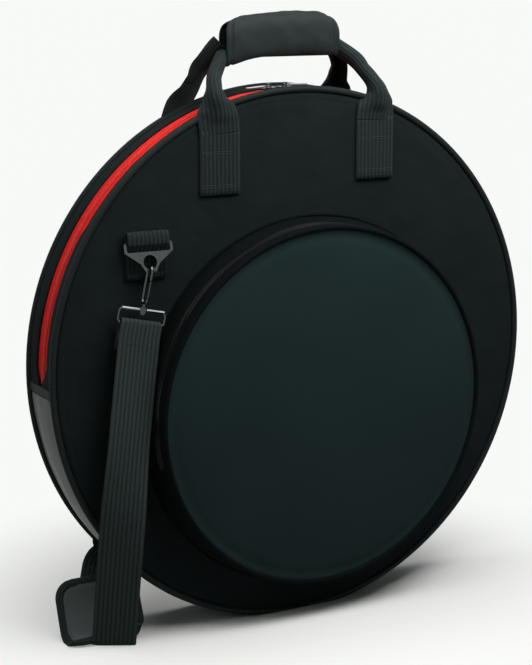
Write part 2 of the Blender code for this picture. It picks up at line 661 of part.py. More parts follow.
def make_handle_tabs():
    for side, sign in (("left", -1), ("right", 1)):
        for face, y_sign in (("front", -1), ("back", 1)):
            x = tab_x(sign, y_sign)
            near, far = sorted((y_sign * (PANEL_Y + GAP), y_sign * (PANEL_Y + GAP + TAB_THICKNESS)))
            top = tab_top(x)
            tab = box_between((x - WEBBING_WIDTH / 2, near, top - HANDLE_TAB_HEIGHT),
                              (x + WEBBING_WIDTH / 2, far, top))
            keep(tab, f"{face}_handle_tab_{side}", "webbing", FLAP_AXIS if face == "back" else (0, 0, 0))


def leg_route(sign, y_sign):
    # From the top of the tab, over the rim, to the grip's end
    x = tab_x(sign, y_sign)
    side_share, drop_share = LEG_END_shares
    inward, forward, upward = LEG_BEND_shares
    layer = PANEL_Y + GAP + TAB_THICKNESS / 2
    rim = rim_height(x, BAG_RADIUS) + PIPING_RADIUS
    end_x = GRIP_CENTRE_X + sign * (GRIP_LENGTH / 2 + LEG_FOLDED_THICKNESS / 4)
    end_y = GRIP_CENTRE_Y + y_sign * GRIP_DEPTH * side_share
    end_z = GRIP_CENTRE_Z - GRIP_HEIGHT * drop_share
    return [
        Vector((x, y_sign * layer, tab_top(x) + GAP)),
        Vector((x, y_sign * (layer + PIPING_RADIUS), rim)),
        Vector((x + (end_x - x) * inward, y_sign * layer * forward, rim + (end_z - rim) * upward)),
        Vector((end_x, end_y, end_z)),
    ]


def leg_sections(points, sign, first, last):
    along_x = Vector((1, 0, 0))
    upright = Vector((0, 0, sign))
    fold_from, fold_over = LEG_FOLD_shares
    sections = []
    for index, point in enumerate(points):
        share = first + (last - first) * index / (len(points) - 1)
        folded = max(0.0, min(1.0, (share - fold_from) / fold_over))
        across = along_x * (1 - folded) + upright * folded
        width = WEBBING_WIDTH + (LEG_FOLDED_WIDTH - WEBBING_WIDTH) * folded
        thickness = WEBBING_THICKNESS + (LEG_FOLDED_THICKNESS - WEBBING_THICKNESS) * folded
        sections.append((point, across, width, thickness))
    return sections


def make_legs():
    for side, sign in (("left", -1), ("right", 1)):
        front = curved(leg_route(sign, -1), LEG_STEPS)
        keep(ribbon(leg_sections(front, sign, 0.0, 1.0)), f"front_handle_leg_{side}", "webbing", HANDLE_AXIS)
        back = curved(leg_route(sign, 1), LEG_STEPS)
        half = LEG_STEPS // 2
        lower, upper = back[:half + 1], back[half:]
        upper[0] = upper[0] + (upper[1] - upper[0]).normalized() * CLEARANCE * 2
        name = f"back_handle_leg_{side}"
        keep(ribbon(leg_sections(lower, sign, 0.0, 0.5)), f"{name}_lower", "webbing", FLAP_AXIS)
        keep(ribbon(leg_sections(upper, sign, 0.5, 1.0)), f"{name}_upper", "webbing", HANDLE_AXIS)


def make_grip():
    low_x, high_x = GRIP_CENTRE_X - GRIP_LENGTH / 2, GRIP_CENTRE_X + GRIP_LENGTH / 2
    start, along = Vector((low_x, 0, 0)), Vector((1, 0, 0))
    across, up = Vector((0, 1, 0)), Vector((0, 0, 1))
    skin, sheet = GRIP_SHEET + GAP, GRIP_SHEET
    front, back, bottom = GRIP_FRONT + skin, GRIP_BACK, GRIP_BOTTOM
    top = GRIP_TOP - skin - GRIP_STRIP * 2 - GAP * 2
    bend = GRIP_SHEET
    free = GRIP_FRONT + GRIP_DEPTH * GRIP_FREE_EDGE_share
    wrap = [(front, bottom), (back - bend, bottom), (back, bottom + bend), (back, top - bend), (back - bend, top),
            (front + sheet, top), (front + sheet, top - sheet), (back - sheet, top - sheet),
            (back - sheet, bottom + sheet), (front, bottom + sheet)]
    keep(profile_along(wrap, start, across, up, along, GRIP_LENGTH), "grip_wrap", "body_fabric", HANDLE_AXIS)
    core = box_between((low_x + sheet, front + sheet, bottom + sheet + GAP * 2),
                       (high_x - sheet, back - sheet - GAP * 2, top - sheet - GAP * 2))
    keep(core, "grip_core", "webbing", HANDLE_AXIS, smooth=False)
    loop = box_between((low_x + bend * 2, free - GRIP_STRIP_WIDTH, top + GAP),
                       (high_x - bend * 2, free, top + GAP + GRIP_STRIP))
    keep(loop, "grip_loop_strip", "hook_and_loop", HANDLE_AXIS, smooth=False)
    hook_low = top + GAP * 2 + GRIP_STRIP
    hook = box_between((low_x + bend * 2, free - GRIP_STRIP_WIDTH, hook_low),
                       (high_x - bend * 2, free, hook_low + GRIP_STRIP))
    keep(hook, "grip_hook_strip", "hook_and_loop", GRIP_FLAP_AXIS, smooth=False)
    roof = GRIP_TOP - sheet
    face = GRIP_FRONT
    flap = [(face, bottom), (face + sheet, bottom), (face + sheet, roof), (free, roof), (free, GRIP_TOP),
            (face + bend, GRIP_TOP), (face, GRIP_TOP - bend)]
    flap = profile_along(flap, start, across, up, along, GRIP_LENGTH)
    keep(flap, "grip_flap", "body_fabric", GRIP_FLAP_AXIS)


def tab_loop_outline():
    # The webbing's edge line: up behind, round the bar, and down in front as a second layer
    turns = [math.radians(degrees) for degrees in range(-20, 241, 20)]
    inner, outer = TAB_LOOP_RADIUS, TAB_LOOP_RADIUS + TAB_LAYER
    bottom = RING_TAB_BOTTOM - RING_BAR_Z
    back = RING_BAR_Y + PANEL_Y + GAP
    rear = [(-back, bottom), (-back, -outer * 1.6)]
    around_out = [(outer * math.cos(turn), outer * math.sin(turn)) for turn in turns]
    around_in = [(inner * math.cos(turn), inner * math.sin(turn)) for turn in turns]
    mouth = -back - TAB_LAYER
    front_low = (mouth - GAP - TAB_LAYER, bottom)
    front_high = (mouth - GAP - TAB_LAYER, -outer * 1.8)
    inner_front = (mouth - GAP, -outer * 1.8)
    front = [front_high, front_low, (mouth - GAP, bottom), inner_front]
    return rear + around_out + front + around_in[::-1] + [(mouth, -outer * 1.6), (mouth, bottom)]


def make_ring_tab():
    outline = tab_loop_outline()
    start = Vector((RING_TAB_X - WEBBING_WIDTH / 2, RING_BAR_Y, RING_BAR_Z))
    across, up, along = Vector((0, 1, 0)), Vector((0, 0, 1)), Vector((1, 0, 0))
    tab = profile_along(outline, start, across, up, along, WEBBING_WIDTH)
    keep(mirrored(tab), "back_ring_tab", "webbing", FLAP_AXIS)
    keep(tab, "front_ring_tab", "webbing")


def circle(radius, v, sides=16):
    return [(radius * math.cos(index * math.tau / sides), v + radius * math.sin(index * math.tau / sides))
            for index in range(sides)]


def hanger_axis(y_sign):
    return Vector((RING_BAR_AT.x, -y_sign * RING_BAR_AT.y, RING_BAR_AT.z))


def keep_pair(bm, name, slot, front_axis, back_axis):
    keep(mirrored(bm), f"back_{name}", slot, back_axis)
    keep(bm, f"front_{name}", slot, front_axis)


def opposite(point):
    return Vector((point.x, -point.y, point.z))


def make_ring():
    top, half, foot = -RING_BAR / 2, RING_WIDTH / 2, RING_BOTTOM_WIDTH / 2
    cut = RING_BAR * RING_CORNER_share
    shoulder = RING_HOLE_DROP - RING_HOLE_RADIUS / 2
    slot_half = RING_SLOT_WIDTH / 2
    slot_low = -top + RING_SLOT_HEIGHT
    outer = [(-half + cut, top), (half - cut, top), (half, top + cut), (half, slot_low)]
    point = foot * RING_FOOT_share
    outer += [(foot, shoulder + foot / 2), (point, RING_DROP), (-point, RING_DROP)]
    outer += [(-foot, shoulder + foot / 2), (-half, slot_low), (-half, top + cut)]
    nip = RING_SLOT_HEIGHT / 6
    slot = [(-slot_half, -top), (slot_half, -top), (slot_half, slot_low - nip), (slot_half - nip, slot_low),
            (nip - slot_half, slot_low), (-slot_half, slot_low - nip)]
    ring = flat_plate([outer, slot, circle(RING_HOLE_RADIUS, RING_HOLE_DROP)], RING_THICKNESS,
                      RING_BAR_AT, Vector((1, 0, 0)), RING_DOWN)
    keep_pair(ring, "ring", "gunmetal", RING_BAR_AT, opposite(RING_BAR_AT))


def hook_point(out, down):
    return HOOK_TOP + HOOK_OUT * out + HOOK_DOWN * down


def make_hook():
    half = HOOK_HALF_WIDTH
    bottom = HOOK_LENGTH - half
    turns = [math.radians(degrees) for degrees in range(0, 181, 30)]
    nose = HOOK_LENGTH - half - GATE_LENGTH - CLEARANCE * 3
    points = [hook_point(half, nose)]
    points += [hook_point(half * math.cos(turn), half - half * math.sin(turn)) for turn in turns]
    points += [hook_point(-half * math.cos(turn), bottom + half * math.sin(turn)) for turn in turns]
    body = wire(points, HOOK_WIRE)
    head_top = HOOK_TOP + HOOK_DOWN * (HOOK_LENGTH + HOOK_WIRE * 2 + BARREL_HEIGHT + GAP)
    pin = rod(HOOK_TOP + HOOK_DOWN * HOOK_LENGTH, head_top + HOOK_DOWN * PIN_HEAD_HEIGHT / 2, PIN_RADIUS)
    head = rod(head_top, head_top + HOOK_DOWN * PIN_HEAD_HEIGHT, PIN_HEAD_RADIUS)
    body = combined(body, pin, "UNION")
    body = combined(body, head, "UNION")
    keep_pair(body, "hook", "gunmetal", HOOK_TOP, opposite(HOOK_TOP))
    foot = hook_point(half, bottom - CLEARANCE)
    gate = rod(foot, foot - HOOK_DOWN * GATE_LENGTH, GATE_RADIUS, 8)
    keep_pair(gate, "gate", "nickel", foot, opposite(foot))
    return foot


def make_strap_loop():
    # A wire loop for the strap, closed by the barrel that the hook's pin turns in
    half = LOOP_WIDTH / 2
    bend = LOOP_WIRE * 1.5
    inner = (BARREL_RADIUS + BARREL_BORE) / 2
    right = LOOP_ACROSS
    points = [LOOP_TOP + right * inner, LOOP_TOP + right * (half - bend)]
    points += [LOOP_TOP + right * half + HOOK_DOWN * bend, LOOP_BAR + right * half - HOOK_DOWN * bend]
    points += [LOOP_BAR + right * (half - bend), LOOP_BAR - right * (half - bend)]
    points += [LOOP_BAR - right * half - HOOK_DOWN * bend, LOOP_TOP - right * half + HOOK_DOWN * bend]
    points += [LOOP_TOP - right * (half - bend), LOOP_TOP - right * inner]
    frame = wire(points, LOOP_WIRE)
    low = BARREL_TOP + HOOK_DOWN * GAP
    high = low + HOOK_DOWN * (BARREL_HEIGHT - GAP)
    barrel = rod(low, high, BARREL_RADIUS, 16)
    frame = combined(frame, barrel, "UNION")
    bore = rod(low - HOOK_DOWN * BARREL_HEIGHT, high + HOOK_DOWN * BARREL_HEIGHT, BARREL_BORE, 16)
    frame = combined(frame, bore, "DIFFERENCE")
    keep_pair(frame, "strap_loop", "gunmetal", RING_BAR_AT, opposite(RING_BAR_AT))


def strap_fold(bar, out):
    # The webbing's short end behind, its turn round the wire, then the front layer downwards
    radius = LOOP_WIRE + GAP * 2 + WEBBING_THICKNESS / 2
    rear = bar - out * radius
    points = [rear + HOOK_DOWN * STRAP_RETURN, rear + HOOK_DOWN * radius]
    for degrees in (180, 150, 120, 90, 60, 30, 0):
        turn = math.radians(degrees)
        points.append(bar + out * radius * math.cos(turn) - HOOK_DOWN * radius * math.sin(turn))
    return points


def strap_sections(points, across):
    return [(point, across, WEBBING_WIDTH, WEBBING_THICKNESS) for point in points]


def far_sections(middle, across):
    # From the top of the pad, round the rim of the bag and up behind the back panel
    exit_at = Vector((PAD_TOP_X + STRAP_EXIT_SHIFT, PAD_TOP_Y, PAD_TOP_Z)) + pad_rise() * (GAP * 2)
    sections = [(exit_at, PAD_ACROSS)]
    for rise, outside, behind, degrees in FAR_RUN:
        height = PAD_TOP_Z + rise
        rim = math.sqrt(BAG_RADIUS ** 2 - (CENTRE_Z - height) ** 2)
        turned = Matrix.Rotation(math.radians(degrees), 3, "Z") @ Vector((1, 0, 0))
        sections.append((Vector((-rim - outside, PANEL_Y + behind, height)), turned))
    last = sections[-1][0]
    for step in range(1, STRAP_STEPS // 2 + 1):
        share = step / (STRAP_STEPS // 2)
        sections.append((last.lerp(middle, share), across))
    return [(point, turned, WEBBING_WIDTH, WEBBING_THICKNESS) for point, turned in sections]


def make_strap():
    foot = Vector((STRAP_FOOT_X, STRAP_FOOT_Y, PAD_THICKNESS + GAP * 2))
    front = strap_fold(LOOP_BAR, HOOK_OUT)
    start = front[-1] + HOOK_DOWN * LOOP_HEIGHT
    bow = (start + foot) / 2 + HOOK_OUT * STRAP_BOW_FORWARD - Vector((STRAP_BOW_OUT, 0, 0))
    sections = strap_sections(front, LOOP_ACROSS)
    turn_from, turn_over = STRAP_TURN_shares
    for index, point in enumerate(curved([start, bow, foot], STRAP_STEPS)):
        turned = max(0.0, min(1.0, (index / STRAP_STEPS - turn_from) / turn_over))
        across = LOOP_ACROSS * (1 - turned) + PAD_ACROSS * turned
        sections.append((point, across, WEBBING_WIDTH, WEBBING_THICKNESS))
    keep(ribbon(sections), "strap_front_run", "webbing", RING_BAR_AT)
    fold = strap_fold(opposite(LOOP_BAR), -HOOK_OUT)
    level = CENTRE_Z - GAP
    middle = fold[-1] + HOOK_DOWN * (level - fold[-1].z) / HOOK_DOWN.z - HOOK_OUT * STRAP_BULGE
    keep(ribbon(far_sections(middle, LOOP_ACROSS)), "strap_back_lower", "webbing")
    upper_start = middle + Vector((0, 0, GAP * 2))
    upper = fold + curved([fold[-1] + HOOK_DOWN * LOOP_HEIGHT, upper_start], STRAP_STEPS // 2)
    keep(ribbon(strap_sections(upper, LOOP_ACROSS)), "strap_back_upper", "webbing", opposite(RING_BAR_AT))


def pad_rise():
    return Vector((PAD_TOP_X - PAD_BOTTOM_X, PAD_TOP_Y - PAD_BOTTOM_Y, PAD_TOP_Z)).normalized()


def make_pad():
    half = PAD_THICKNESS / 2
    start = Vector((PAD_BOTTOM_X, PAD_BOTTOM_Y, half))
    turn = Vector((PAD_BOTTOM_X, PAD_BOTTOM_Y + PAD_THICKNESS, half))
    top = Vector((PAD_TOP_X, PAD_TOP_Y, PAD_TOP_Z))
    along, lift = PAD_BEND_shares
    rise = turn + (top - turn) * along
    points = [start, (start + turn) / 2, turn, rise + Vector((0, 0, half * lift)), (rise + top) / 2, top]
    widths = [PAD_WIDTH * share for share in PAD_WIDTH_shares]
    sections = [(point, PAD_ACROSS, width, PAD_THICKNESS) for point, width in zip(points, widths)]
    pad = ribbon(sections)
    lowest = min(vert.co.z for vert in pad.verts)
    if lowest < 0:
        cut_at(pad, 0, True)
    keep(pad, "shoulder_pad", "pocket_leatherette")


make_shell()
make_rim()
make_zip()
make_sliders()
make_pocket_wall()
make_pocket_face()
make_pocket_slider()
make_handle_tabs()
make_legs()
make_grip()
make_ring_tab()
make_ring()
make_hook()
make_strap_loop()
make_strap()
make_pad()
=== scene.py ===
import math

import bmesh
import bpy
from mathutils import Matrix, Vector, noise


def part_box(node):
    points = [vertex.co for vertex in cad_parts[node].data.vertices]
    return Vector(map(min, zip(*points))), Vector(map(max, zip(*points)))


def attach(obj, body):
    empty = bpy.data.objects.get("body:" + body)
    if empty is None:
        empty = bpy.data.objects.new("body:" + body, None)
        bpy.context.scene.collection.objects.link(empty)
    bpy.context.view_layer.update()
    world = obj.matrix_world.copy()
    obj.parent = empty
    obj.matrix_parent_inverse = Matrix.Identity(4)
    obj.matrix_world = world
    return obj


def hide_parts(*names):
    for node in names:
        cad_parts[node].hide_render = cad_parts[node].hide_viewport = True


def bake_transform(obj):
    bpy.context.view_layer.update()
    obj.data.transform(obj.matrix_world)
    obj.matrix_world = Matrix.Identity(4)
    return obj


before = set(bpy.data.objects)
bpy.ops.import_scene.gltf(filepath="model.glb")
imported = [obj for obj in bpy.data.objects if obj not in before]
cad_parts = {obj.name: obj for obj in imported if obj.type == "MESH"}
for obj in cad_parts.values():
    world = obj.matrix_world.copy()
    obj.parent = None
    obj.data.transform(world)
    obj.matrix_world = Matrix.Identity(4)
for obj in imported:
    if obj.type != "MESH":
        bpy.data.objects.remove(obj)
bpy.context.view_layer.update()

X, Y, Z = Vector((1, 0, 0)), Vector((0, 1, 0)), Vector((0, 0, 1))
FLOOR_GAP = 0.0004

# The round body, in metres and degrees
CENTRE = Vector((0, 0, 0.29529))
BODY_RADIUS = 0.3
PANEL_Y = 0.034
PANEL_RADIUS = 0.2938
RIM = 0.2965
RIM_PIPE_Y = 0.03225
PIPE = 0.0035
GUSSET_EDGE = 0.0295
LEFT_END = 182.2
ZIP_SHY = 0.9
FRONT_TAPE, BACK_TAPE = (-0.0185, -0.0060), (-0.0006, 0.0125)
FRONT_COIL, BACK_COIL = (-0.0064, -0.0034), (-0.0032, -0.0002)

# The front pocket
POCKET = Vector((0.012, 0, 0.245))
POCKET_BACK, POCKET_FRONT = -0.0340, -0.0722
POCKET_FACE_Y = -0.0742
POCKET_FACE_RADIUS = 0.1980
LID_Z = 0.19375
LID_SPAN = (-14.5, 194.5)
POCKET_REAR_EDGE = -0.0530
POCKET_ZIP_BACK, POCKET_ZIP_FRONT = (-0.0528, -0.0561), (-0.0565, -0.0598)
LID_EDGE = -0.0600
POCKET_FLARE = 0.0040

# Sides of the bag, with the way out from each and the body that its fittings follow
FACES = (("front", -1, "bag"), ("back", 1, "back_flap"))

# Webbing and thread
WEB = 0.048
RIBS = 10
RIB_PITCH = 0.0048
WEB_POINTS = 61
TAB_WALL = 0.0026
TAB_Y = PANEL_Y + 0.0029
RING_BAR = Vector((-0.1895, 0.0403, 0.4385))
STITCH_PITCH, STITCH_LENGTH, STITCH_RADIUS = 0.0034, 0.0024, 0.00028

# The grip: its middle, slope, two ends, the corner radii of flap and wrap, and the stitch line's inset
GRIP = Vector((-0.004, 0.005, 0.648))
GRIP_TILT = 0.04
GRIP_ENDS = (GRIP.x - 0.0735, GRIP.x + 0.0665)
GRIP_CORNERS = (0.018, 0.026)
WRAP_CORNERS = (0.030, 0.034)
GRIP_WALL = 0.0026
GRIP_BORDER = 0.0060
# First angle, turn in degrees, half depth and half height of the grip's two layers
GRIP_SHAPES = {"flap": (-122, -143, 0.0158, 0.0250), "wrap": (-118, 217, 0.0150, 0.0222)}

# The shoulder strap and its pad
PAD_ACROSS = Matrix.Rotation(math.radians(-29), 3, "Z") @ X
HANG = Vector((-0.2149, 0, -0.9766))
LOOP_ACROSS = Vector((0.9766, 0, -0.2149))
LOOP_BAR = Vector((-0.20258, -0.04825, 0.35489))
BAR_REACH = 0.0034
FOOT = Vector((-0.2344, -0.0360, -0.0010))
BOW = Vector((-0.0124, -0.0220, 0))
STRAP_WALL, FOLD_WALL = 0.0020, 0.0018
BACK_JOIN_Z = 0.29499
PAD_TOP = Vector((-0.2325, 0.0115, 0.0580))
PAD_HALF, PAD_CORNER, PAD_SWELL = 0.0455, 0.021, 0.0046
PAD_SEAM, BINDING_REACH = 0.0092, 0.0088
# The far run's rise over the pad, distance outside the rim, distance behind the back panel, and turn
# in degrees
FAR_RUN = ((0.006, 0.0300, -0.0140, -6), (0.012, 0.0170, -0.0040, 26), (0.020, -0.0030, 0.0050, 47),
           (0.032, -0.0105, 0.0110, 38), (0.052, -0.0330, 0.0190, 34))


# ---- node helpers
def new_material(name):
    made = bpy.data.materials.new(name)
    made.use_nodes = True
    tree = made.node_tree
    return made, tree, tree.nodes["Principled BSDF"]


def set_inputs(made, values):
    for key, value in values.items():
        made.inputs[key].default_value = value


def node(tree, kind, values=None, **settings):
    made = tree.nodes.new(kind)
    for key, value in settings.items():
        setattr(made, key, value)
    set_inputs(made, values or {})
    return made


# Width of one band of the wave texture at scale 1
WAVE_WIDTH = 0.314159


def wave(tree, uv, pitch, direction="X", turn=0.0):
    place = node(tree, "ShaderNodeMapping", {"Rotation": (0, 0, turn)})
    tree.links.new(uv, place.inputs["Vector"])
    made = node(tree, "ShaderNodeTexWave", {"Scale": WAVE_WIDTH / pitch, "Distortion": 0.0},
                bands_direction=direction)
    tree.links.new(place.outputs["Vector"], made.inputs["Vector"])
    return made.outputs["Fac"]


def maths(tree, a, b, operation="MULTIPLY"):
    made = node(tree, "ShaderNodeMath", operation=operation)
    for index, value in enumerate((a, b)):
        if isinstance(value, (int, float)):
            made.inputs[index].default_value = value
        else:
            tree.links.new(value, made.inputs[index])
    return made.outputs["Value"]


def weighted(tree, *parts):
    # The sum of each value times its share
    total = None
    for value, share in parts:
        scaled = maths(tree, value, share)
        total = scaled if total is None else maths(tree, total, scaled, "ADD")
    return total


def noise_of(tree, vector, scale, detail):
    made = node(tree, "ShaderNodeTexNoise", {"Scale": scale, "Detail": detail})
    tree.links.new(vector, made.inputs["Vector"])
    return made.outputs["Fac"]


def bump(tree, height, distance, strength, before=None):
    made = node(tree, "ShaderNodeBump", {"Distance": distance, "Strength": strength})
    tree.links.new(height, made.inputs["Height"])
    if before is not None:
        tree.links.new(before, made.inputs["Normal"])
    return made.outputs["Normal"]


def tinted(tree, factor, low, high):
    ramp = node(tree, "ShaderNodeValToRGB")
    ramp.color_ramp.elements[0].color = (*low, 1)
    ramp.color_ramp.elements[1].color = (*high, 1)
    tree.links.new(factor, ramp.inputs["Fac"])
    return ramp.outputs["Color"]


def cloth(name, low, high, pitch, weave, roughness, wrinkle, sheen=0.0, turn=0.785, specular=0.03):
    # Plain weave of the given thread pitch, turned on the cloth, over soft wrinkles
    made, tree, shader = new_material(name)
    uv = node(tree, "ShaderNodeUVMap").outputs["UV"]
    threads = maths(tree, wave(tree, uv, pitch, "X", turn), wave(tree, uv, pitch, "Y", turn), "MAXIMUM")
    patches = noise_of(tree, uv, scale=14.0, detail=4.0)
    fuzz = noise_of(tree, uv, scale=900.0, detail=2.0)
    mixed = weighted(tree, (patches, 0.55), (threads, 0.2), (fuzz, 0.25))
    tree.links.new(tinted(tree, mixed, low, high), shader.inputs["Base Color"])
    soft = bump(tree, noise_of(tree, uv, scale=22.0, detail=2.0), distance=wrinkle, strength=0.6)
    tree.links.new(bump(tree, threads, weave, 0.5, soft), shader.inputs["Normal"])
    set_inputs(shader, {"Roughness": roughness, "Sheen Weight": sheen, "Sheen Roughness": 0.5,
                        "Sheen Tint": (0.75, 0.9, 0.88, 1), "Specular IOR Level": specular})
    return made


def leatherette(name, low, high, roughness, grain, specular):
    made, tree, shader = new_material(name)
    uv = node(tree, "ShaderNodeUVMap").outputs["UV"]
    pores = node(tree, "ShaderNodeTexVoronoi", {"Scale": 1.0 / grain})
    tree.links.new(uv, pores.inputs["Vector"])
    patches = noise_of(tree, uv, scale=7.0, detail=3.0)
    tree.links.new(tinted(tree, patches, low, high), shader.inputs["Base Color"])
    soft = bump(tree, noise_of(tree, uv, scale=16.0, detail=1.5), distance=0.0015, strength=0.35)
    tree.links.new(bump(tree, pores.outputs["Distance"], 0.00012, 0.35, soft), shader.inputs["Normal"])
    set_inputs(shader, {"Roughness": roughness, "Specular IOR Level": specular})
    return made


def webbing(name, low, high):
    # Ribs along the webbing, crossed by the fine picks of the weave
    made, tree, shader = new_material(name)
    uv = node(tree, "ShaderNodeUVMap").outputs["UV"]
    ribs = wave(tree, uv, RIB_PITCH, "X")
    picks = wave(tree, uv, 0.0013, "Y")
    fuzz = noise_of(tree, uv, scale=1200.0, detail=2.0)
    mixed = weighted(tree, (ribs, 0.55), (picks, 0.2025), (fuzz, 0.2475))
    tree.links.new(tinted(tree, mixed, low, high), shader.inputs["Base Color"])
    first = bump(tree, ribs, distance=0.0004, strength=0.4)
    tree.links.new(bump(tree, picks, 0.0003, 0.45, first), shader.inputs["Normal"])
    set_inputs(shader, {"Roughness": 0.7, "Sheen Weight": 0.03, "Specular IOR Level": 0.05})
    return made


def zip_cloth(name, low, high, pitch, height, strength, roughness, specular):
    made, tree, shader = new_material(name)
    uv = node(tree, "ShaderNodeUVMap").outputs["UV"]
    ribs = wave(tree, uv, pitch, "X")
    fuzz = noise_of(tree, uv, scale=700.0, detail=2.0)
    mixed = weighted(tree, (ribs, 0.5), (fuzz, 0.5))
    tree.links.new(tinted(tree, mixed, low, high), shader.inputs["Base Color"])
    tree.links.new(bump(tree, ribs, height, strength), shader.inputs["Normal"])
    set_inputs(shader, {"Roughness": roughness, "Specular IOR Level": specular})
    return made


def metal(name, colour, roughness, wear):
    made, tree, shader = new_material(name)
    place = node(tree, "ShaderNodeTexCoord").outputs["Object"]
    patches = noise_of(tree, place, scale=160.0, detail=4.0)
    low = tuple(c * (1 - wear) for c in colour)
    tree.links.new(tinted(tree, patches, low, colour), shader.inputs["Base Color"])
    scratches = noise_of(tree, place, scale=900.0, detail=2.0)
    tree.links.new(bump(tree, scratches, distance=0.00005, strength=0.3), shader.inputs["Normal"])
    set_inputs(shader, {"Metallic": 1.0, "Roughness": roughness})
    return made


TAPE_LOOK = {"pitch": 0.0008, "height": 0.0002, "strength": 0.4, "roughness": 0.7, "specular": 0.04}
COIL_LOOK = {"pitch": 0.0016, "height": 0.0006, "strength": 0.7, "roughness": 0.42, "specular": 0.12}
FABRIC = cloth("fabric", (0.0055, 0.0082, 0.0082), (0.0135, 0.0185, 0.0185),
               pitch=0.0013, weave=0.00025, roughness=0.78, wrinkle=0.006)
FABRIC_GRIP = cloth("grip_fabric", (0.0070, 0.0105, 0.0105), (0.0160, 0.0225, 0.0225),
                    pitch=0.0012, weave=0.0002, roughness=0.55, wrinkle=0.0012, specular=0.12)
BINDING = cloth("binding", (0.0055, 0.0078, 0.0076), (0.014, 0.0185, 0.018),
                pitch=0.0009, weave=0.0002, roughness=0.6, wrinkle=0.001, turn=0.0, specular=0.08)
# The body's fabric made darker for the pocket's side wall, lid band and pipings: painted shade
WALL_CLOTH_PAINTED_SHADE = cloth("pocket_wall", (0.0016, 0.0022, 0.0023), (0.0046, 0.0062, 0.0064),
             pitch=0.0013, weave=0.00025, roughness=0.8, wrinkle=0.003)
PILE = cloth("pile", (0.004, 0.005, 0.005), (0.012, 0.014, 0.014),
             pitch=0.0006, weave=0.0004, roughness=0.95, wrinkle=0.0005, sheen=0.1)
THREAD = cloth("thread", (0.030, 0.040, 0.039), (0.065, 0.082, 0.080),
               pitch=0.0005, weave=0.0001, roughness=0.6, wrinkle=0.0001)
# Grey leatherette, partly its own grey and partly painted reflection of the white backdrop
GUSSET_GREY_PAINTED_REFLECTION = leatherette("gusset_leatherette", (0.062, 0.073, 0.068), (0.096, 0.110, 0.103),
                     roughness=0.42, grain=0.0011, specular=0.12)
FACE = leatherette("pocket_leatherette", (0.0105, 0.0200, 0.0200), (0.0175, 0.031, 0.031),
                   roughness=0.5, grain=0.0009, specular=0.025)
# The pocket's leatherette made much lighter for the shoulder pad: painted sheen
PAD_SKIN_PAINTED_SHEEN = leatherette("pad_leatherette_painted_sheen", (0.052, 0.065, 0.063), (0.082, 0.098, 0.096),
                       roughness=0.5, grain=0.0009, specular=0.10)
WEBBING = webbing("webbing", (0.0055, 0.0080, 0.0078), (0.0215, 0.0305, 0.0295))
# The same webbing made lighter for the hanging shoulder strap: painted light
STRAP_WEB_PAINTED_LIGHT = webbing("strap_webbing_painted_light", (0.0085, 0.0125, 0.0120), (0.040, 0.056, 0.053))
RED_TAPE = zip_cloth("red_tape", (0.56, 0.016, 0.013), (0.78, 0.033, 0.028), **TAPE_LOOK)
RED_COIL = zip_cloth("red_coil", (0.50, 0.013, 0.011), (0.84, 0.045, 0.038), **COIL_LOOK)
BLACK_COIL = zip_cloth("black_coil", (0.0012, 0.0016, 0.0016), (0.0045, 0.0058, 0.0058), **COIL_LOOK)
NICKEL = metal("bright_nickel", (0.78, 0.77, 0.75), roughness=0.18, wear=0.15)
GUNMETAL = metal("black_nickel", (0.085, 0.095, 0.092), roughness=0.24, wear=0.45)


# ---- mesh helpers
def mesh_object(name, points, faces, uvs, material):
    mesh = bpy.data.meshes.new(name)
    mesh.from_pydata(points, [], faces)
    layer = mesh.uv_layers.new(name="UVMap")
    layer.data.foreach_set("uv", [c for uv in uvs for c in uv])
    mesh.materials.append(material)
    mesh.shade_smooth()
    made = bpy.data.objects.new(name, mesh)
    bpy.context.scene.collection.objects.link(made)
    return made


def surface(name, rows, uv_of, material, caps=False):
    # A skin over rows of points, each row closed on itself
    count = len(rows[0])
    points = [point for row in rows for point in row]
    faces, uvs = [], []
    for i in range(len(rows) - 1):
        for j in range(count):
            k = (j + 1) % count
            faces.append((i * count + j, i * count + k, (i + 1) * count + k, (i + 1) * count + j))
            uvs += [uv_of(i, j), uv_of(i, j + 1), uv_of(i + 1, j + 1), uv_of(i + 1, j)]
    if caps:
        for i, order in ((0, range(count - 1, -1, -1)), (len(rows) - 1, range(count))):
            faces.append([i * count + j for j in order])
            uvs += [uv_of(i, j) for j in order]
    return mesh_object(name, points, faces, uvs, material)


def flat_uv(rows):
    # Cloth that lies across the object is marked out by its own x and z
    def uv_of(i, j):
        point = rows[i][j % len(rows[0])]
        return point.x, point.z

    return uv_of


def lengths(points):
    total, found = 0.0, [0.0]
    for a, b in zip(points, points[1:]):
        total += (b - a).length
        found.append(total)
    return found


def smooth_line(knots, count):
    padded = [knots[0] * 2 - knots[1]] + list(knots) + [knots[-1] * 2 - knots[-2]]
    found = []
    for index in range(count + 1):
        place = index / count * (len(knots) - 1)
        span = min(int(place), len(knots) - 2)
        t = place - span
        a, b, c, d = padded[span:span + 4]
        found.append((b * 2 + (c - a) * t + (a * 2 - b * 5 + c * 4 - d) * t * t
                      + (b * 3 - a - c * 3 + d) * t * t * t) / 2)
    return found


def smooth_value(values, place):
    span = min(int(place), len(values) - 2)
    t = place - span
    t = t * t * (3 - 2 * t)
    return values[span] * (1 - t) + values[span + 1] * t


def on_ring(centre, degrees, radius, y):
    turn = math.radians(degrees)
    z = centre.z + radius * math.sin(turn)
    return Vector((centre.x + radius * math.cos(turn), y, max(z, FLOOR_GAP)))


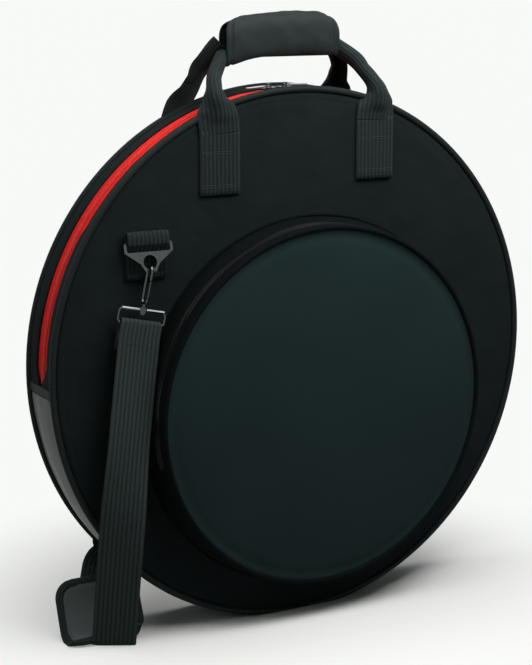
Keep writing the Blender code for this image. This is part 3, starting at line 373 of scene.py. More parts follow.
def swept(name, span, profile_of, centre, material, step=2.0, radius=RIM):
    # A closed profile of radius and y, carried round a centre over the span in degrees
    start, end = span
    whole = end - start >= 359.9
    count = round((end - start) / step)
    angles = [start + (end - start) * index / count for index in range(count + 1)]
    profiles = [profile_of(angle) for angle in angles]
    rows = [[on_ring(centre, angle, r, y) for r, y in profile] for angle, profile in zip(angles, profiles)]
    across = [lengths([Vector((r, y, 0)) for r, y in profile + profile[:1]]) for profile in profiles]

    def uv_of(i, j):
        return math.radians(angles[i]) * radius, across[i][j]

    return surface(name, rows, uv_of, material, caps=not whole)


def above_floor(spot):
    return Vector((spot.x, spot.y, max(spot.z, FLOOR_GAP)))


def soft_noise(x, y, z, scale):
    return noise.noise(Vector((x, y, z)) * scale)


def bent_section(centre, across, normal, width, thickness, fold):
    # One closed cross-section of ribbed webbing, folded along its middle by the given angle on each side
    shares = [index / (WEB_POINTS - 1) - 0.5 for index in range(WEB_POINTS)]
    spots, turns = [], []
    u = v = 0.0
    for index, s in enumerate(shares):
        turn = fold * math.tanh(s * width / 0.006)
        if index:
            step = width / (WEB_POINTS - 1)
            middle = (turn + turns[-1]) / 2
            u += step * math.cos(middle)
            v += step * math.sin(middle)
        turns.append(turn)
        spots.append((u, v))
    mid_u = sum(u for u, _ in spots) / WEB_POINTS
    mid_v = sum(v for _, v in spots) / WEB_POINTS
    outline = []
    for side in (1, -1):
        for index in range(WEB_POINTS)[::side]:
            s, (u, v), turn = shares[index], spots[index], turns[index]
            edge = max(0.0, 1 - (abs(s) * 2) ** 14)
            rib = 0.0003 * abs(math.sin(math.pi * RIBS * (s + 0.5)))
            lift = (thickness / 2 * edge + rib * edge) * side
            u, v = u - mid_u - math.sin(turn) * lift, v - mid_v + math.cos(turn) * lift
            outline.append(centre + across * u + normal * v)
    return outline


def strap_piece(name, sections, material=WEBBING):
    # sections: centre, across, fold angle, width share and thickness
    rows, along = [], lengths([s[0] for s in sections])
    for index, (centre, across, fold, share, thickness) in enumerate(sections):
        before = sections[max(index - 1, 0)][0]
        after = sections[min(index + 1, len(sections) - 1)][0]
        tangent = (after - before).normalized()
        side = (across - tangent * across.dot(tangent)).normalized()
        normal = side.cross(tangent).normalized()
        row = bent_section(centre, side, normal, WEB * share, thickness, fold)
        rows.append([above_floor(spot) for spot in row])

    def uv_of(i, j):
        j %= WEB_POINTS * 2
        s = (j if j < WEB_POINTS else 2 * WEB_POINTS - 1 - j) / (WEB_POINTS - 1)
        return s * WEB, along[i]

    return surface(name, rows, uv_of, material, caps=True)


def stitches(name, points, lift=Y):
    # Short thread lengths along a line, each a small five-sided rod with thin ends
    along = lengths(points)
    corners, faces, uvs = [], [], []

    def at(distance):
        for index in range(len(along) - 1):
            if along[index + 1] >= distance:
                t = (distance - along[index]) / max(along[index + 1] - along[index], 1e-9)
                return points[index].lerp(points[index + 1], t)
        return points[-1]

    place = 0.0
    while place + STITCH_LENGTH < along[-1]:
        a, b = at(place), at(place + STITCH_LENGTH)
        axis = (b - a).normalized()
        side = axis.cross(lift).normalized()
        up = side.cross(axis)
        base = len(corners)
        for end, size in ((a, 0.5), (a.lerp(b, 0.2), 1.0), (a.lerp(b, 0.8), 1.0), (b, 0.5)):
            for turn in range(5):
                angle = turn * math.tau / 5
                out = side * math.cos(angle) + up * math.sin(angle)
                corners.append(end + out * STITCH_RADIUS * size)
        for ring in range(3):
            for turn in range(5):
                k = (turn + 1) % 5
                low = base + ring * 5
                faces.append((low + turn, low + k, low + 5 + k, low + 5 + turn))
                uvs += [(place, 0), (place, 0.001), (place + 0.001, 0.001), (place + 0.001, 0)]
        place += STITCH_PITCH
    return mesh_object(name, corners, faces, uvs, THREAD)


def stitch_row(name, left, across, width, body=None, between=None):
    # A row of stitches across webbing, from its left end
    line = [left + across * (width * index / 12) for index in range(13)]
    settle(stitches(name, line), "webbing", [], body, between)


def settle(made, slot, replaced=(), body=None, between=None):
    # Hides the solids that the piece stands for, and hangs the piece on its body, or bakes its place into its
    # mesh when it lies between two bodies
    if replaced:
        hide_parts(*replaced)
    if between:
        a, b, start, end = between
        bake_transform(made)
        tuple(start)
        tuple(end)
    else:
        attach(made, body)


# Two bodies, and a start and an end point on the cloth between them
MOUTH = ("bag", "back_flap", (0, PANEL_Y, 0.262), (0, PANEL_Y, 0.345))
LID = ("bag", "pocket_lid", (POCKET.x, -0.08, LID_Z - 0.03), (POCKET.x, -0.08, LID_Z + 0.05))


# ---- the round body
def disc_radii(radius, rings, crowding):
    # Rings that crowd together towards the edge
    return [radius * (1 - (1 - index / rings) ** crowding) for index in range(rings + 1)]


def panel(name, side):
    # A round cloth panel, a little full in the middle, with soft waves towards the rim
    columns = 168
    rows = []
    for radius in disc_radii(PANEL_RADIUS, 46, 1.35):
        row = []
        share = radius / PANEL_RADIUS
        swell = 0.0012 * (1 - share ** 4)
        groove = -0.0012 * math.exp(-((radius - 0.2855) / 0.0022) ** 2)
        tuck = -0.003 * max(0.0, (share - 0.985) / 0.015)
        for index in range(columns):
            turn = math.radians(index * 360 / columns)
            x, z = radius * math.cos(turn), radius * math.sin(turn)
            waves = soft_noise(x * 0.6, side * 3.0, z, 9.0) * 0.0016 * (1 - share ** 8)
            pull = 0.0011 * math.sin(turn * 34 + 3 * soft_noise(x, side, z, 12.0))
            pull *= max(0.0, soft_noise(x, side * 2.0, z, 6.0) + 0.35) * max(0.0, share - 0.62) * 2.2
            depth = PANEL_Y + swell + waves * 0.8 + pull * (1 - share ** 30) + groove
            row.append(above_floor(Vector((x, side * (depth + tuck), CENTRE.z + z))))
        rows.append(row)
    return surface(name, rows, flat_uv(rows), FABRIC)


def piping(name, y, radius=PIPE, rim=RIM, centre=CENTRE, material=BINDING):
    turns = [math.radians(30 * index) for index in range(12)]

    def profile(_):
        return [(rim + radius * math.cos(t), y + radius * math.sin(t)) for t in turns]

    return swept(name, (0, 360), profile, centre, material, radius=rim)


def band(r_of, y_low, y_high, wall, columns=9):
    # A band of cloth across the object, whose outer face follows r_of(angle, share, y)
    def profile(angle):
        low = y_low(angle) if callable(y_low) else y_low
        high = y_high(angle) if callable(y_high) else y_high
        outer = []
        for index in range(columns):
            share = index / (columns - 1)
            y = low + (high - low) * share
            outer.append((r_of(angle, share, y), y))
        return outer + [(r - wall, y) for r, y in reversed(outer)]

    return profile


def gusset_wave(angle, y):
    turn = math.radians(angle)
    return 0.0010 * soft_noise(math.cos(turn) * 2, y * 30, math.sin(turn) * 2, 3.0)


def closing(angle):
    # How far the strips have closed over the zip towards its two ends
    from_end = min(abs(angle), abs(LEFT_END - angle))
    return max(0.0, min(1.0, (4.6 - from_end) / 3.7)) ** 1.3


def fold_edge(angle):
    # The front strip laps over the red tape, and further towards its ends
    step = 0.0030 if min(abs(angle), abs(LEFT_END - angle)) < 34 else 0.0
    return -0.0182 + step + closing(angle) * 0.0165


def back_edge(angle):
    return 0.0107 - closing(angle) * 0.0085


def make_body():
    settle(panel("front_panel_cloth", -1), "body_fabric", ["front_panel"], "bag")
    settle(panel("back_panel_cloth", 1), "body_fabric", ["back_panel_lower", "back_panel_upper"],
           between=MOUTH)
    settle(piping("front_rim", -RIM_PIPE_Y), "piping", ["front_rim_piping"], "bag")
    settle(piping("back_rim", RIM_PIPE_Y), "piping", ["back_rim_piping_lower", "back_rim_piping_upper"],
           between=MOUTH)

    def lower(angle, share, y):
        return 0.2958 + 0.0028 * math.sin(math.pi * share) + gusset_wave(angle, y)

    def strip(angle, share, y):
        return RIM + 0.0008 * math.sin(math.pi * share) + gusset_wave(angle, y) * 0.6

    def tape(angle, share, y):
        return 0.2944 + 0.0002 * math.sin(share * 9)

    def coil(angle, share, y):
        return 0.2943 + 0.0022 * math.sin(math.pi * (0.12 + 0.76 * share))

    def cap(angle, share, y):
        return 0.2974 + 0.0006 * math.sin(math.pi * share)

    skin = band(lower, -GUSSET_EDGE, GUSSET_EDGE, 0.0026, columns=15)
    settle(swept("gusset_lower_skin", (LEFT_END + 1.2, 358.8), skin, CENTRE, GUSSET_GREY_PAINTED_REFLECTION),
           "gusset_leatherette", ["gusset_lower"], "bag")
    strip_look = (FABRIC, "body_fabric", 2.0)
    tape_look = (RED_TAPE, "zip_red", 2.0)
    coil_look = (RED_COIL, "zip_red", 1.0)
    runs = (
        ("gusset_front_cloth", "gusset_front_strip", band(strip, -GUSSET_EDGE, fold_edge, 0.0020),
         strip_look),
        ("gusset_back_cloth", "gusset_back_strip", band(strip, back_edge, GUSSET_EDGE, 0.0020), strip_look),
        ("zip_tape_front", "zipper_tape_front", band(tape, *FRONT_TAPE, 0.0010), tape_look),
        ("zip_tape_back", "zipper_tape_back", band(tape, *BACK_TAPE, 0.0010), tape_look),
        ("zip_coil_front", "zipper_coil_front", band(coil, *FRONT_COIL, 0.0016, 7), coil_look),
        ("zip_coil_back", "zipper_coil_back", band(coil, *BACK_COIL, 0.0016, 7), coil_look))
    for name, replaced, profile, (material, slot, step) in runs:
        piece = swept(name, (ZIP_SHY, LEFT_END - ZIP_SHY), profile, CENTRE, material, step)
        if "back" in name:
            settle(piece, slot, [replaced], between=MOUTH)
        else:
            settle(piece, slot, [replaced], "bag")
    for name, middle in (("zip_end_binding_right", 0), ("zip_end_binding_left", LEFT_END)):
        profile = band(cap, -0.0292, 0.0292, 0.0030)
        piece = swept(name + "_cloth", (middle - ZIP_SHY, middle + ZIP_SHY), profile, CENTRE, BINDING, 0.3)
        settle(piece, "body_fabric", [name], "bag")


# ---- the front pocket
def pocket_wall(y_back, y_front, swell=0.0015, flare=0.0):
    # The side wall draws in a little towards the front, and flares out again next to the face
    def radius_of(angle, share, y):
        turn = math.radians(angle)
        depth = (y + 0.0343) / -0.038
        radius = 0.2075 - 0.0100 * depth + swell * math.sin(math.pi * share)
        radius += flare * max(0.0, (LID_EDGE - y) / (LID_EDGE - POCKET_FRONT))
        waves = 0.0018 * soft_noise(math.cos(turn), y * 20, math.sin(turn), 5.0)
        return radius + waves * math.sin(math.pi * share)

    return band(radius_of, y_back, y_front, 0.0022)


def make_pocket():
    cloth_look, zip_look = (WALL_CLOTH_PAINTED_SHADE, "body_fabric", 2.0), (BLACK_COIL, "zip_black", 1.0)
    rear = pocket_wall(POCKET_BACK, POCKET_REAR_EDGE)
    low_front = pocket_wall(POCKET_ZIP_BACK[0], POCKET_FRONT, 0.0010, POCKET_FLARE)
    lid = pocket_wall(LID_EDGE, POCKET_FRONT, 0.0008, POCKET_FLARE)
    zip_back, zip_front = pocket_wall(*POCKET_ZIP_BACK, 0.0006), pocket_wall(*POCKET_ZIP_FRONT, 0.0006)
    parts = (
        ("pocket_wall_cloth", "pocket_wall_rear", (0, 360), rear, cloth_look, "bag"),
        ("pocket_wall_front_cloth", "pocket_wall_lower_front", (194, 346), low_front, cloth_look, "bag"),
        ("pocket_lid_cloth", "pocket_lid_band", LID_SPAN, lid, cloth_look, "pocket_lid"),
        ("pocket_tape_rear", "pocket_zip_rear", LID_SPAN, zip_back, zip_look, "bag"),
        ("pocket_tape_front", "pocket_zip_front", LID_SPAN, zip_front, zip_look, "pocket_lid"))
    for name, replaced, span, profile, (material, slot, step), body in parts:
        settle(swept(name, span, profile, POCKET, material, step), slot, [replaced], body)
    # The pipings take the darkened wall cloth in place of the binding: painted shade
    settle(piping("pocket_base_seam", -0.0352, 0.0017, 0.2088, POCKET, WALL_CLOTH_PAINTED_SHADE), "piping", [], "bag")
    settle(piping("pocket_face_piping", -0.0750, 0.0027, 0.1998, POCKET, WALL_CLOTH_PAINTED_SHADE), "piping",
           ["pocket_piping_lower", "pocket_piping_upper"], between=LID)
    make_pocket_face()


def make_pocket_face():
    # The padded face, with a lip inside its piping and a few low folds
    columns = 144
    rows = []
    for radius in disc_radii(POCKET_FACE_RADIUS, 34, 1.3):
        share = radius / POCKET_FACE_RADIUS
        dome = 0.0068 * (1 - share ** 2.4)
        lip = 0.0012 * math.exp(-((radius - 0.190) / 0.0045) ** 2)
        row = []
        for index in range(columns):
            turn = index * math.tau / columns
            x, z = radius * math.cos(turn), radius * math.sin(turn)
            waves = 0.0010 * soft_noise(x, 5.0, z, 11.0) * (1 - share ** 6)
            low_fold = 0.0015 * soft_noise(x * 1.5, 2.0, z * 0.5, 24.0) * max(0.0, -z / 0.19) ** 2 * share
            depth = dome + waves - lip + low_fold
            row.append(Vector((POCKET.x + x, POCKET_FACE_Y - depth, POCKET.z + z)))
        rows.append(row)
    face = surface("pocket_face_skin", rows, flat_uv(rows), FACE)
    settle(face, "pocket_leatherette", ["pocket_face_lower", "pocket_face_upper"], between=LID)


# ---- webbing tabs, legs and grip
def make_tabs():
    # The front tabs sit a little to the left, the left one lower and the right one higher
    for face, sign, body in FACES:
        for side in ("left", "right"):
            name = f"{face}_handle_tab_{side}"
            low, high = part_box(name)
            x, bottom, top = (low[0] + high[0]) / 2, low[2], high[2]
            if face == "front":
                x, drop = x - 0.0045, 0.0050 if side == "left" else -0.0020
                bottom, top = bottom - drop, top - drop
            y = sign * TAB_Y
            tall = top - 0.0003 - bottom
            sections = [(Vector((x, y, bottom + tall * index / 14)), X, 0.0, 1.0, TAB_WALL)
                        for index in range(15)]
            settle(strap_piece(name + "_web", sections), "webbing", [name], body)
            for row, rise in enumerate((0.0085, 0.0108, 0.0440, 0.0463)):
                left = Vector((x - 0.022, y + sign * 0.0018, bottom + rise))
                stitch_row(f"{name}_stitch_{row}", left, X, 0.044, body)


def leg(knots):
    count = 36
    places = [Vector(knot[0]) for knot in knots]
    across = [Vector(knot[1]).normalized() for knot in knots]
    folds, shares = [knot[2] for knot in knots], [knot[3] for knot in knots]
    sections = []
    for index, point in enumerate(smooth_line(places, count)):
        place = index / count * (len(knots) - 1)
        direction = smooth_value(across, place).normalized()
        sections.append((point, direction, smooth_value(folds, place), smooth_value(shares, place), TAB_WALL))
    return sections


# Each leg's places, the webbing's direction across, its fold and the share of its width
LEGS = {
    "front_left": (
        ((-0.1015, -0.0369, 0.5475), (1, 0, 0), 0.0, 1.0),
        ((-0.1026, -0.0374, 0.5580), (1, 0, 0), -0.05, 1.0),
        ((-0.1045, -0.0392, 0.5710), (1, -0.08, 0), -0.40, 0.99),
        ((-0.1066, -0.0365, 0.5870), (0.93, -0.36, 0), -1.10, 0.92),
        ((-0.1035, -0.0275, 0.6000), (0.87, -0.49, 0), -1.38, 0.70),
        ((-0.0940, -0.0135, 0.6130), (0.80, -0.50, -0.3), -1.40, 0.62),
        ((-0.0760, 0.0015, 0.6290), (0.5, -0.4, -0.7), -1.40, 0.6)),
    "front_right": (
        ((0.0925, -0.0369, 0.5545), (1, 0, 0), 0.0, 1.0),
        ((0.0932, -0.0374, 0.5640), (1, 0, 0), -0.08, 1.0),
        ((0.0950, -0.0392, 0.5760), (1, -0.08, 0), -0.55, 0.98),
        ((0.0955, -0.0365, 0.5890), (0.93, -0.34, 0.1), -1.15, 0.85),
        ((0.0915, -0.0290, 0.6005), (0.80, -0.45, 0.40), -1.38, 0.68),
        ((0.0855, -0.0210, 0.6110), (0.70, -0.35, 0.60), -1.38, 0.60),
        ((0.0800, -0.0115, 0.6220), (0.58, -0.20, 0.78), -1.30, 0.66),
        ((0.0620, 0.0010, 0.6370), (0.4, 0.0, 0.9), -1.30, 0.7)),
    "back_left": (
        ((-0.1140, 0.0369, 0.5465), (1, 0, 0), 0.0, 1.0),
        ((-0.1125, 0.0388, 0.5680), (0.92, 0.38, 0), -0.05, 1.0),
        ((-0.1000, 0.0382, 0.5880), (0.82, 0.57, 0), -0.10, 1.0),
        ((-0.0925, 0.0330, 0.6040), (0.77, 0.63, -0.05), -0.15, 1.0),
        ((-0.0850, 0.0235, 0.6180), (0.70, 0.62, -0.35), -0.25, 1.0),
        ((-0.0690, 0.0110, 0.6360), (0.6, 0.5, -0.6), -0.50, 0.95)),
    "back_right": (
        ((0.0850, 0.0369, 0.5602), (1, 0, 0), 0.0, 1.0),
        ((0.0850, 0.0405, 0.5760), (0.97, -0.15, 0.0), 0.3, 1.0),
        ((0.0840, 0.0375, 0.5900), (0.92, -0.36, 0.1), 0.85, 0.98),
        ((0.0815, 0.0290, 0.6030), (0.86, -0.45, 0.2), 1.25, 0.94),
        ((0.0785, 0.0190, 0.6170), (0.84, -0.50, 0.2), 1.38, 0.86),
        ((0.0660, 0.0110, 0.6320), (0.6, -0.4, 0.65), 1.38, 0.75)),
}


def make_legs():
    for name, knots in LEGS.items():
        face, side = name.split("_")
        sections = leg(knots)
        if face == "front":
            piece = strap_piece(f"{name}_leg_web", sections)
            settle(piece, "webbing", [f"front_handle_leg_{side}"],
                   between=("bag", "handle", (0, 0, 0.566), (0, 0, 0.632)))
            continue
        half = len(sections) // 2
        low, high = sections[:half + 1], sections[half:]
        join_z = sections[half][0].z
        piece = strap_piece(f"{name}_leg_low_web", low)
        settle(piece, "webbing", [f"back_handle_leg_{side}_lower"],
               between=("back_flap", "bag", (0, 0, 0.562), (0, 0, join_z)))
        piece = strap_piece(f"{name}_leg_high_web", high)
        settle(piece, "webbing", [f"back_handle_leg_{side}_upper"],
               between=("bag", "handle", (0, 0, join_z), (0, 0, 0.640)))


def grip_outline(kind):
    # (y, z) points round the grip from its lower front edge: the flap's go up the front to its free edge
    # on top, and the wrap's go under the grip and up its back
    start, sweep, deep, tall = GRIP_SHAPES[kind]
    found = []
    for index in range(61):
        angle = math.radians(start + sweep * (index / 60))
        y, z = math.cos(angle), math.sin(angle)
        found.append((deep * math.copysign(abs(y) ** 0.62, y), tall * math.copysign(abs(z) ** 0.72, z)))
    return found


def grip_sag(x, z):
    # The grip hangs a little at its ends, and its lower left corner most
    low, high = GRIP_ENDS
    u = (x - (low + high) / 2) / ((high - low) / 2)
    sag = 0.0030 * math.cos(u * math.pi / 2) - 0.0020 + GRIP_TILT * (x - GRIP.x)
    sag -= 0.0040 * max(0.0, (u - 0.55) / 0.45) ** 2 + 0.0022 * max(0.0, (-u - 0.6) / 0.4) ** 2
    if z < 0:
        sag -= 0.0050 * max(0.0, -u - 0.5) / 0.5 * min(1.0, -z / 0.015)
    return sag


def rounded_inset(corner, from_edge):
    if from_edge >= corner:
        return 0.0
    return corner - math.sqrt(max(0.0, corner ** 2 - (corner - from_edge) ** 2))


def on_grip(x, y, z, scale):
    return Vector((x, GRIP.y + y * scale, GRIP.z + z * scale + grip_sag(x, z)))


def border_groove(distance):
    return 0.0015 * math.exp(-((distance - GRIP_BORDER) / 0.0012) ** 2)


def grip_sheet(name, kind, material, low, high, corners):
    outline = grip_outline(kind)
    run = lengths([Vector((0, y, z)) for y, z in outline])
    count = 130
    half = (high - low) / 2
    rows = []
    for index in range(count + 1):
        u = index / count * 2 - 1
        outer, inner = [], []
        for place, (y, z) in enumerate(outline):
            from_edge = run[-1] - run[place]
            inset = rounded_inset(corners[u > 0], from_edge)
            x = (low + high) / 2 + u * (half - inset)
            end = (1 - abs(u)) * (half - inset)
            wrinkle = 0.0009 * soft_noise(x * 1.2, y * 2, z, 60.0)
            border = border_groove(end)
            if kind == "flap":
                border += border_groove(from_edge)
            plump = 1 - 0.10 * math.exp(-end / 0.006)
            point = on_grip(x, y, z, plump * (1 + (wrinkle - border) / math.hypot(y, z)))
            outer.append(point)
            inner.append(point - Vector((0, y, z)).normalized() * GRIP_WALL)
        rows.append(outer + inner[::-1])
    across = run + [run[-1] + c for c in run] + [run[-1] * 2 + 0.003]

    def uv_of(i, j):
        return low + (high - low) * i / count, across[j]

    return surface(name, rows, uv_of, material, caps=True)


def grip_border():
    # The stitch line round the flap's two ends and its free edge
    outline = grip_outline("flap")
    run = lengths([Vector((0, y, z)) for y, z in outline])
    low, high = GRIP_ENDS
    path = []
    steps = 12
    far = run[-1] - 0.004
    for side, corner in ((-1, GRIP_CORNERS[0]), (1, GRIP_CORNERS[1])):
        bend = corner - GRIP_BORDER
        part = [(GRIP_BORDER, far - (far - corner) * index / 10) for index in range(10)]
        for index in range(steps + 1):
            turn = math.radians(90 * index / steps)
            part.append((corner - bend * math.cos(turn), corner - bend * math.sin(turn)))
        placed = [((low + d) if side < 0 else (high - d), e) for d, e in part]
        path += placed if side < 0 else placed[::-1]
    found = []
    for x, from_edge in path:
        distance = run[-1] - from_edge
        place = min(index for index in range(len(run)) if run[index] >= distance - 1e-9) or 1
        t = (distance - run[place - 1]) / (run[place] - run[place - 1])
        y = outline[place - 1][0] * (1 - t) + outline[place][0] * t
        z = outline[place - 1][1] * (1 - t) + outline[place][1] * t
        found.append(on_grip(x, y, z, 0.965 - 0.05 * math.exp(-min(x - low, high - x) / 0.006)))
    return found


def make_grip():
    low, high = GRIP_ENDS
    piece = grip_sheet("grip_wrap_cloth", "wrap", BINDING, low + 0.004, high - 0.004, WRAP_CORNERS)
    settle(piece, "body_fabric", ["grip_wrap"], "handle")
    piece = grip_sheet("grip_flap_cloth", "flap", FABRIC_GRIP, low, high, GRIP_CORNERS)
    settle(piece, "body_fabric", ["grip_flap"], "grip_cover")
    settle(stitches("grip_border_stitch", grip_border(), lift=X), "webbing", [], "grip_cover")
    # Core and closing strips, shortened to stay inside the rounded corners
    inner = (("grip_core", "handle", WEBBING, "webbing", 0.84),
             ("grip_loop_strip", "handle", PILE, "hook_and_loop", 0.62),
             ("grip_hook_strip", "grip_cover", PILE, "hook_and_loop", 0.62))
    for name, body, material, slot, share in inner:
        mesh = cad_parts[name].data.copy()
        for corner in mesh.vertices:
            corner.co.x = GRIP.x - 0.003 + (corner.co.x - GRIP.x) * share
            corner.co.z -= 0.0012
        mesh.materials.clear()
        mesh.materials.append(material)
        drawn = bpy.data.objects.new(name + "_drawn", mesh)
        bpy.context.scene.collection.objects.link(drawn)
        settle(drawn, slot, [name], body)


# ---- ring tabs, hardware and strap
def make_ring_tabs():
    for face, sign, body in FACES:
        bar = Vector((RING_BAR.x, sign * RING_BAR.y, RING_BAR.z))
        path = [bar + Vector((0, -sign * 0.0048, -0.0380)), bar + Vector((0, -sign * 0.0049, -0.0080))]
        for degrees in range(-50, 231, 10):
            turn = math.radians(degrees)
            rise = (0.0038 if turn > 0 and degrees < 180 else 0.0030) * math.sin(turn)
            rise += 0.0080 * max(0.0, math.sin(turn)) ** 0.5
            path.append(bar - Y * (sign * 0.0038 * math.cos(turn)) + Z * rise)
        path += [bar + Vector((0, -sign * 0.0024, -0.0100)), bar + Vector((0, -sign * 0.0024, -0.0385))]
        sections = [(point, X, 0.0, 1.0, 0.0013) for point in path]
        settle(strap_piece(f"{face}_ring_tab_web", sections), "webbing", [f"{face}_ring_tab"], body)
        for row, z in enumerate((0.4035, 0.4060)):
            left = Vector((bar.x - 0.022, bar.y - sign * 0.0012, z))
            stitch_row(f"{face}_ring_stitch_{row}", left, X, 0.044, body)


HARDWARE = {
    "left_slider_body": GUNMETAL, "right_slider_body": GUNMETAL, "left_slider_pull": NICKEL,
    "right_slider_pull": NICKEL, "pocket_slider_body": GUNMETAL, "pocket_slider_pull": GUNMETAL,
    "front_ring": GUNMETAL, "back_ring": GUNMETAL, "front_hook": GUNMETAL, "back_hook": GUNMETAL,
    "front_gate": GUNMETAL, "back_gate": GUNMETAL, "front_strap_loop": GUNMETAL, "back_strap_loop": GUNMETAL,
}


def make_hardware():
    sharp = math.radians(40)
    for name, finish in HARDWARE.items():
        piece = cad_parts[name]
        piece.data.materials.clear()
        piece.data.materials.append(finish)
        piece.data.shade_smooth()
        piece.data.set_sharp_from_angle(angle=sharp)
        edge = piece.modifiers.new("edge", "BEVEL")
        edge.width = 0.00025
        edge.segments = 2
        edge.limit_method = "ANGLE"
        edge.angle_limit = sharp


def fold_path(bar, out):
    # The strap's end, folded over the loop's bar: up behind it, over, and down in front
    back = 0.030
    rear = bar - out * BAR_REACH
    path = [rear + HANG * back, rear + HANG * (back * 0.55), rear + HANG * 0.004]
    for degrees in range(180, -1, -20):
        turn = math.radians(degrees)
        path.append(bar + out * BAR_REACH * math.cos(turn) - HANG * BAR_REACH * math.sin(turn))
    return path


def run_length(sections):
    return lengths([section[0] for section in sections])[-1]


def make_strap():
    path = fold_path(LOOP_BAR, -Y)
    start = path[-1]
    high = start + HANG * 0.015
    count = 60
    body = smooth_line([high, (high + FOOT) / 2 + BOW, FOOT], count)
    sections = [(point, LOOP_ACROSS, 0.0, 0.99, FOLD_WALL) for point in path]
    for index, point in enumerate(body):
        t = index / count
        turned = max(0.0, min(1.0, (t - 0.30) / 0.42))
        turned = turned * turned * (3 - 2 * turned)
        fold = 0.045 * math.sin(t * 8.0) - 0.03
        sections.append((point, LOOP_ACROSS.lerp(PAD_ACROSS, turned), fold, 1.0, STRAP_WALL))
    piece = strap_piece("strap_front_web", sections, STRAP_WEB_PAINTED_LIGHT)
    between = ("bag", "front_hanger", tuple(FOOT + Vector((0, 0, 0.05))), tuple(LOOP_BAR))
    settle(piece, "webbing", ["strap_front_run"], between=between)
    run_length(sections)
    for row, drop in enumerate((0.0165, 0.0215)):
        base = next(point for point in body if (point - start).length > drop) - Y * 0.0015
        stitch_row(f"strap_stitch_{row}", base - LOOP_ACROSS * 0.021, LOOP_ACROSS, 0.042, between=between)


def make_back_strap():
    bar = Vector((LOOP_BAR.x, -LOOP_BAR.y, LOOP_BAR.z))
    path = fold_path(bar, Y)
    middle = path[-1] + HANG * ((path[-1].z - BACK_JOIN_Z) / -HANG.z) + Y * 0.020
    sections = [(point, LOOP_ACROSS, 0.0, 0.99, FOLD_WALL) for point in path]
    run = smooth_line([path[-1] + HANG * 0.015, middle + Z * 0.0006], 12)
    sections += [(point, LOOP_ACROSS, 0.03, 1.0, STRAP_WALL) for point in run]
    piece = strap_piece("strap_back_upper_web", sections, STRAP_WEB_PAINTED_LIGHT)
    settle(piece, "webbing", ["strap_back_upper"],
           between=("back_flap", "back_hanger", tuple(middle), tuple(bar)))
    run_length(sections)
    knots, across = [PAD_TOP + Vector((0.006, 0.0006, 0.0004))], [PAD_ACROSS]
    for rise, outside, behind, degrees in FAR_RUN:
        height = PAD_TOP.z + rise
        rim = math.sqrt(BODY_RADIUS ** 2 - (CENTRE.z - height) ** 2)
        knots.append(Vector((-rim - outside, PANEL_Y + behind, height)))
        across.append(Matrix.Rotation(math.radians(degrees), 3, "Z") @ X)
    last = knots[-1]
    for share in (0.25, 0.5, 0.75, 1.0):
        knots.append(last.lerp(middle, share))
        across.append(LOOP_ACROSS)
    count = 8 * (len(knots) - 1)
    sections = []
    for index, point in enumerate(smooth_line(knots, count)):
        place = index / count * (len(knots) - 1)
        sections.append((point, smooth_value(across, place), 0.02, 1.0, STRAP_WALL))
    piece = strap_piece("strap_back_lower_web", sections, STRAP_WEB_PAINTED_LIGHT)
    settle(piece, "webbing", ["strap_back_lower"],
           between=("bag", "back_flap", (0, 0, 0.12), (0, 0, BACK_JOIN_Z)))
    run_length(sections)


def pad_surface(name, material, swell):
    # The pad's skin, and how far each of its points lies from the pad's edge
    knots = [Vector((-0.2393, -0.0300, 0.0056)), Vector((-0.2383, -0.0200, 0.0075)),
             Vector((-0.2373, -0.0100, 0.0210)), Vector((-0.2358, 0.0020, 0.0420)),
             Vector((-0.2346, 0.0130, 0.0650))]
    count, columns = 70, 76
    line = smooth_line(knots, count)
    total = lengths(line)
    rows, edges = [], []
    for index, point in enumerate(line):
        before, after = line[max(index - 1, 0)], line[min(index + 1, count)]
        tangent = (after - before).normalized()
        side = (PAD_ACROSS - tangent * PAD_ACROSS.dot(tangent)).normalized()
        normal = side.cross(tangent).normalized()
        end = min(total[index], total[-1] - total[index])
        half = PAD_HALF - rounded_inset(PAD_CORNER, end)
        row = []
        for face in (1, -1):
            for column in range(columns):
                s = (column / (columns - 1) * 2 - 1) * face
                edge = min((1 - abs(s)) * half, end + 0.0012)
                if end < PAD_CORNER and (1 - abs(s)) * half < PAD_CORNER:
                    away = math.hypot(PAD_CORNER - end, max(0.0, abs(s) * half - (PAD_HALF - PAD_CORNER)))
                    edge = min(edge, max(0.0, PAD_CORNER - away))
                body = PAD_SWELL * min(1.0, (max(edge, 0.0) / 0.0085) ** 0.5) + swell
                dip = 0.0014 * math.exp(-((edge - PAD_SEAM) / 0.0010) ** 2)
                row.append(above_floor(point + side * s * (half + swell) + normal * (body - dip) * face))
                edges.append(edge)
        rows.append(row)

    def uv_of(i, j):
        j %= columns * 2
        s = (j if j < columns else 2 * columns - 1 - j) / (columns - 1)
        return s * 0.087, total[i]

    return surface(name, rows, uv_of, material, caps=True), edges


def make_pad():
    # A soft pad with a bound edge, standing on its front end and leaning back
    pad, _ = pad_surface("shoulder_pad_skin", PAD_SKIN_PAINTED_SHEEN, 0.0)
    settle(pad, "pocket_leatherette", ["shoulder_pad"], "bag")
    bound, edges = pad_surface("shoulder_pad_binding", BINDING, 0.0006)
    work = bmesh.new()
    work.from_mesh(bound.data)
    work.verts.ensure_lookup_table()
    inner = [face for face in work.faces
             if sum(edges[v.index] for v in face.verts) / len(face.verts) > BINDING_REACH]
    bmesh.ops.delete(work, geom=inner, context="FACES")
    work.to_mesh(bound.data)
    work.free()
    settle(bound, "body_fabric", [], "bag")


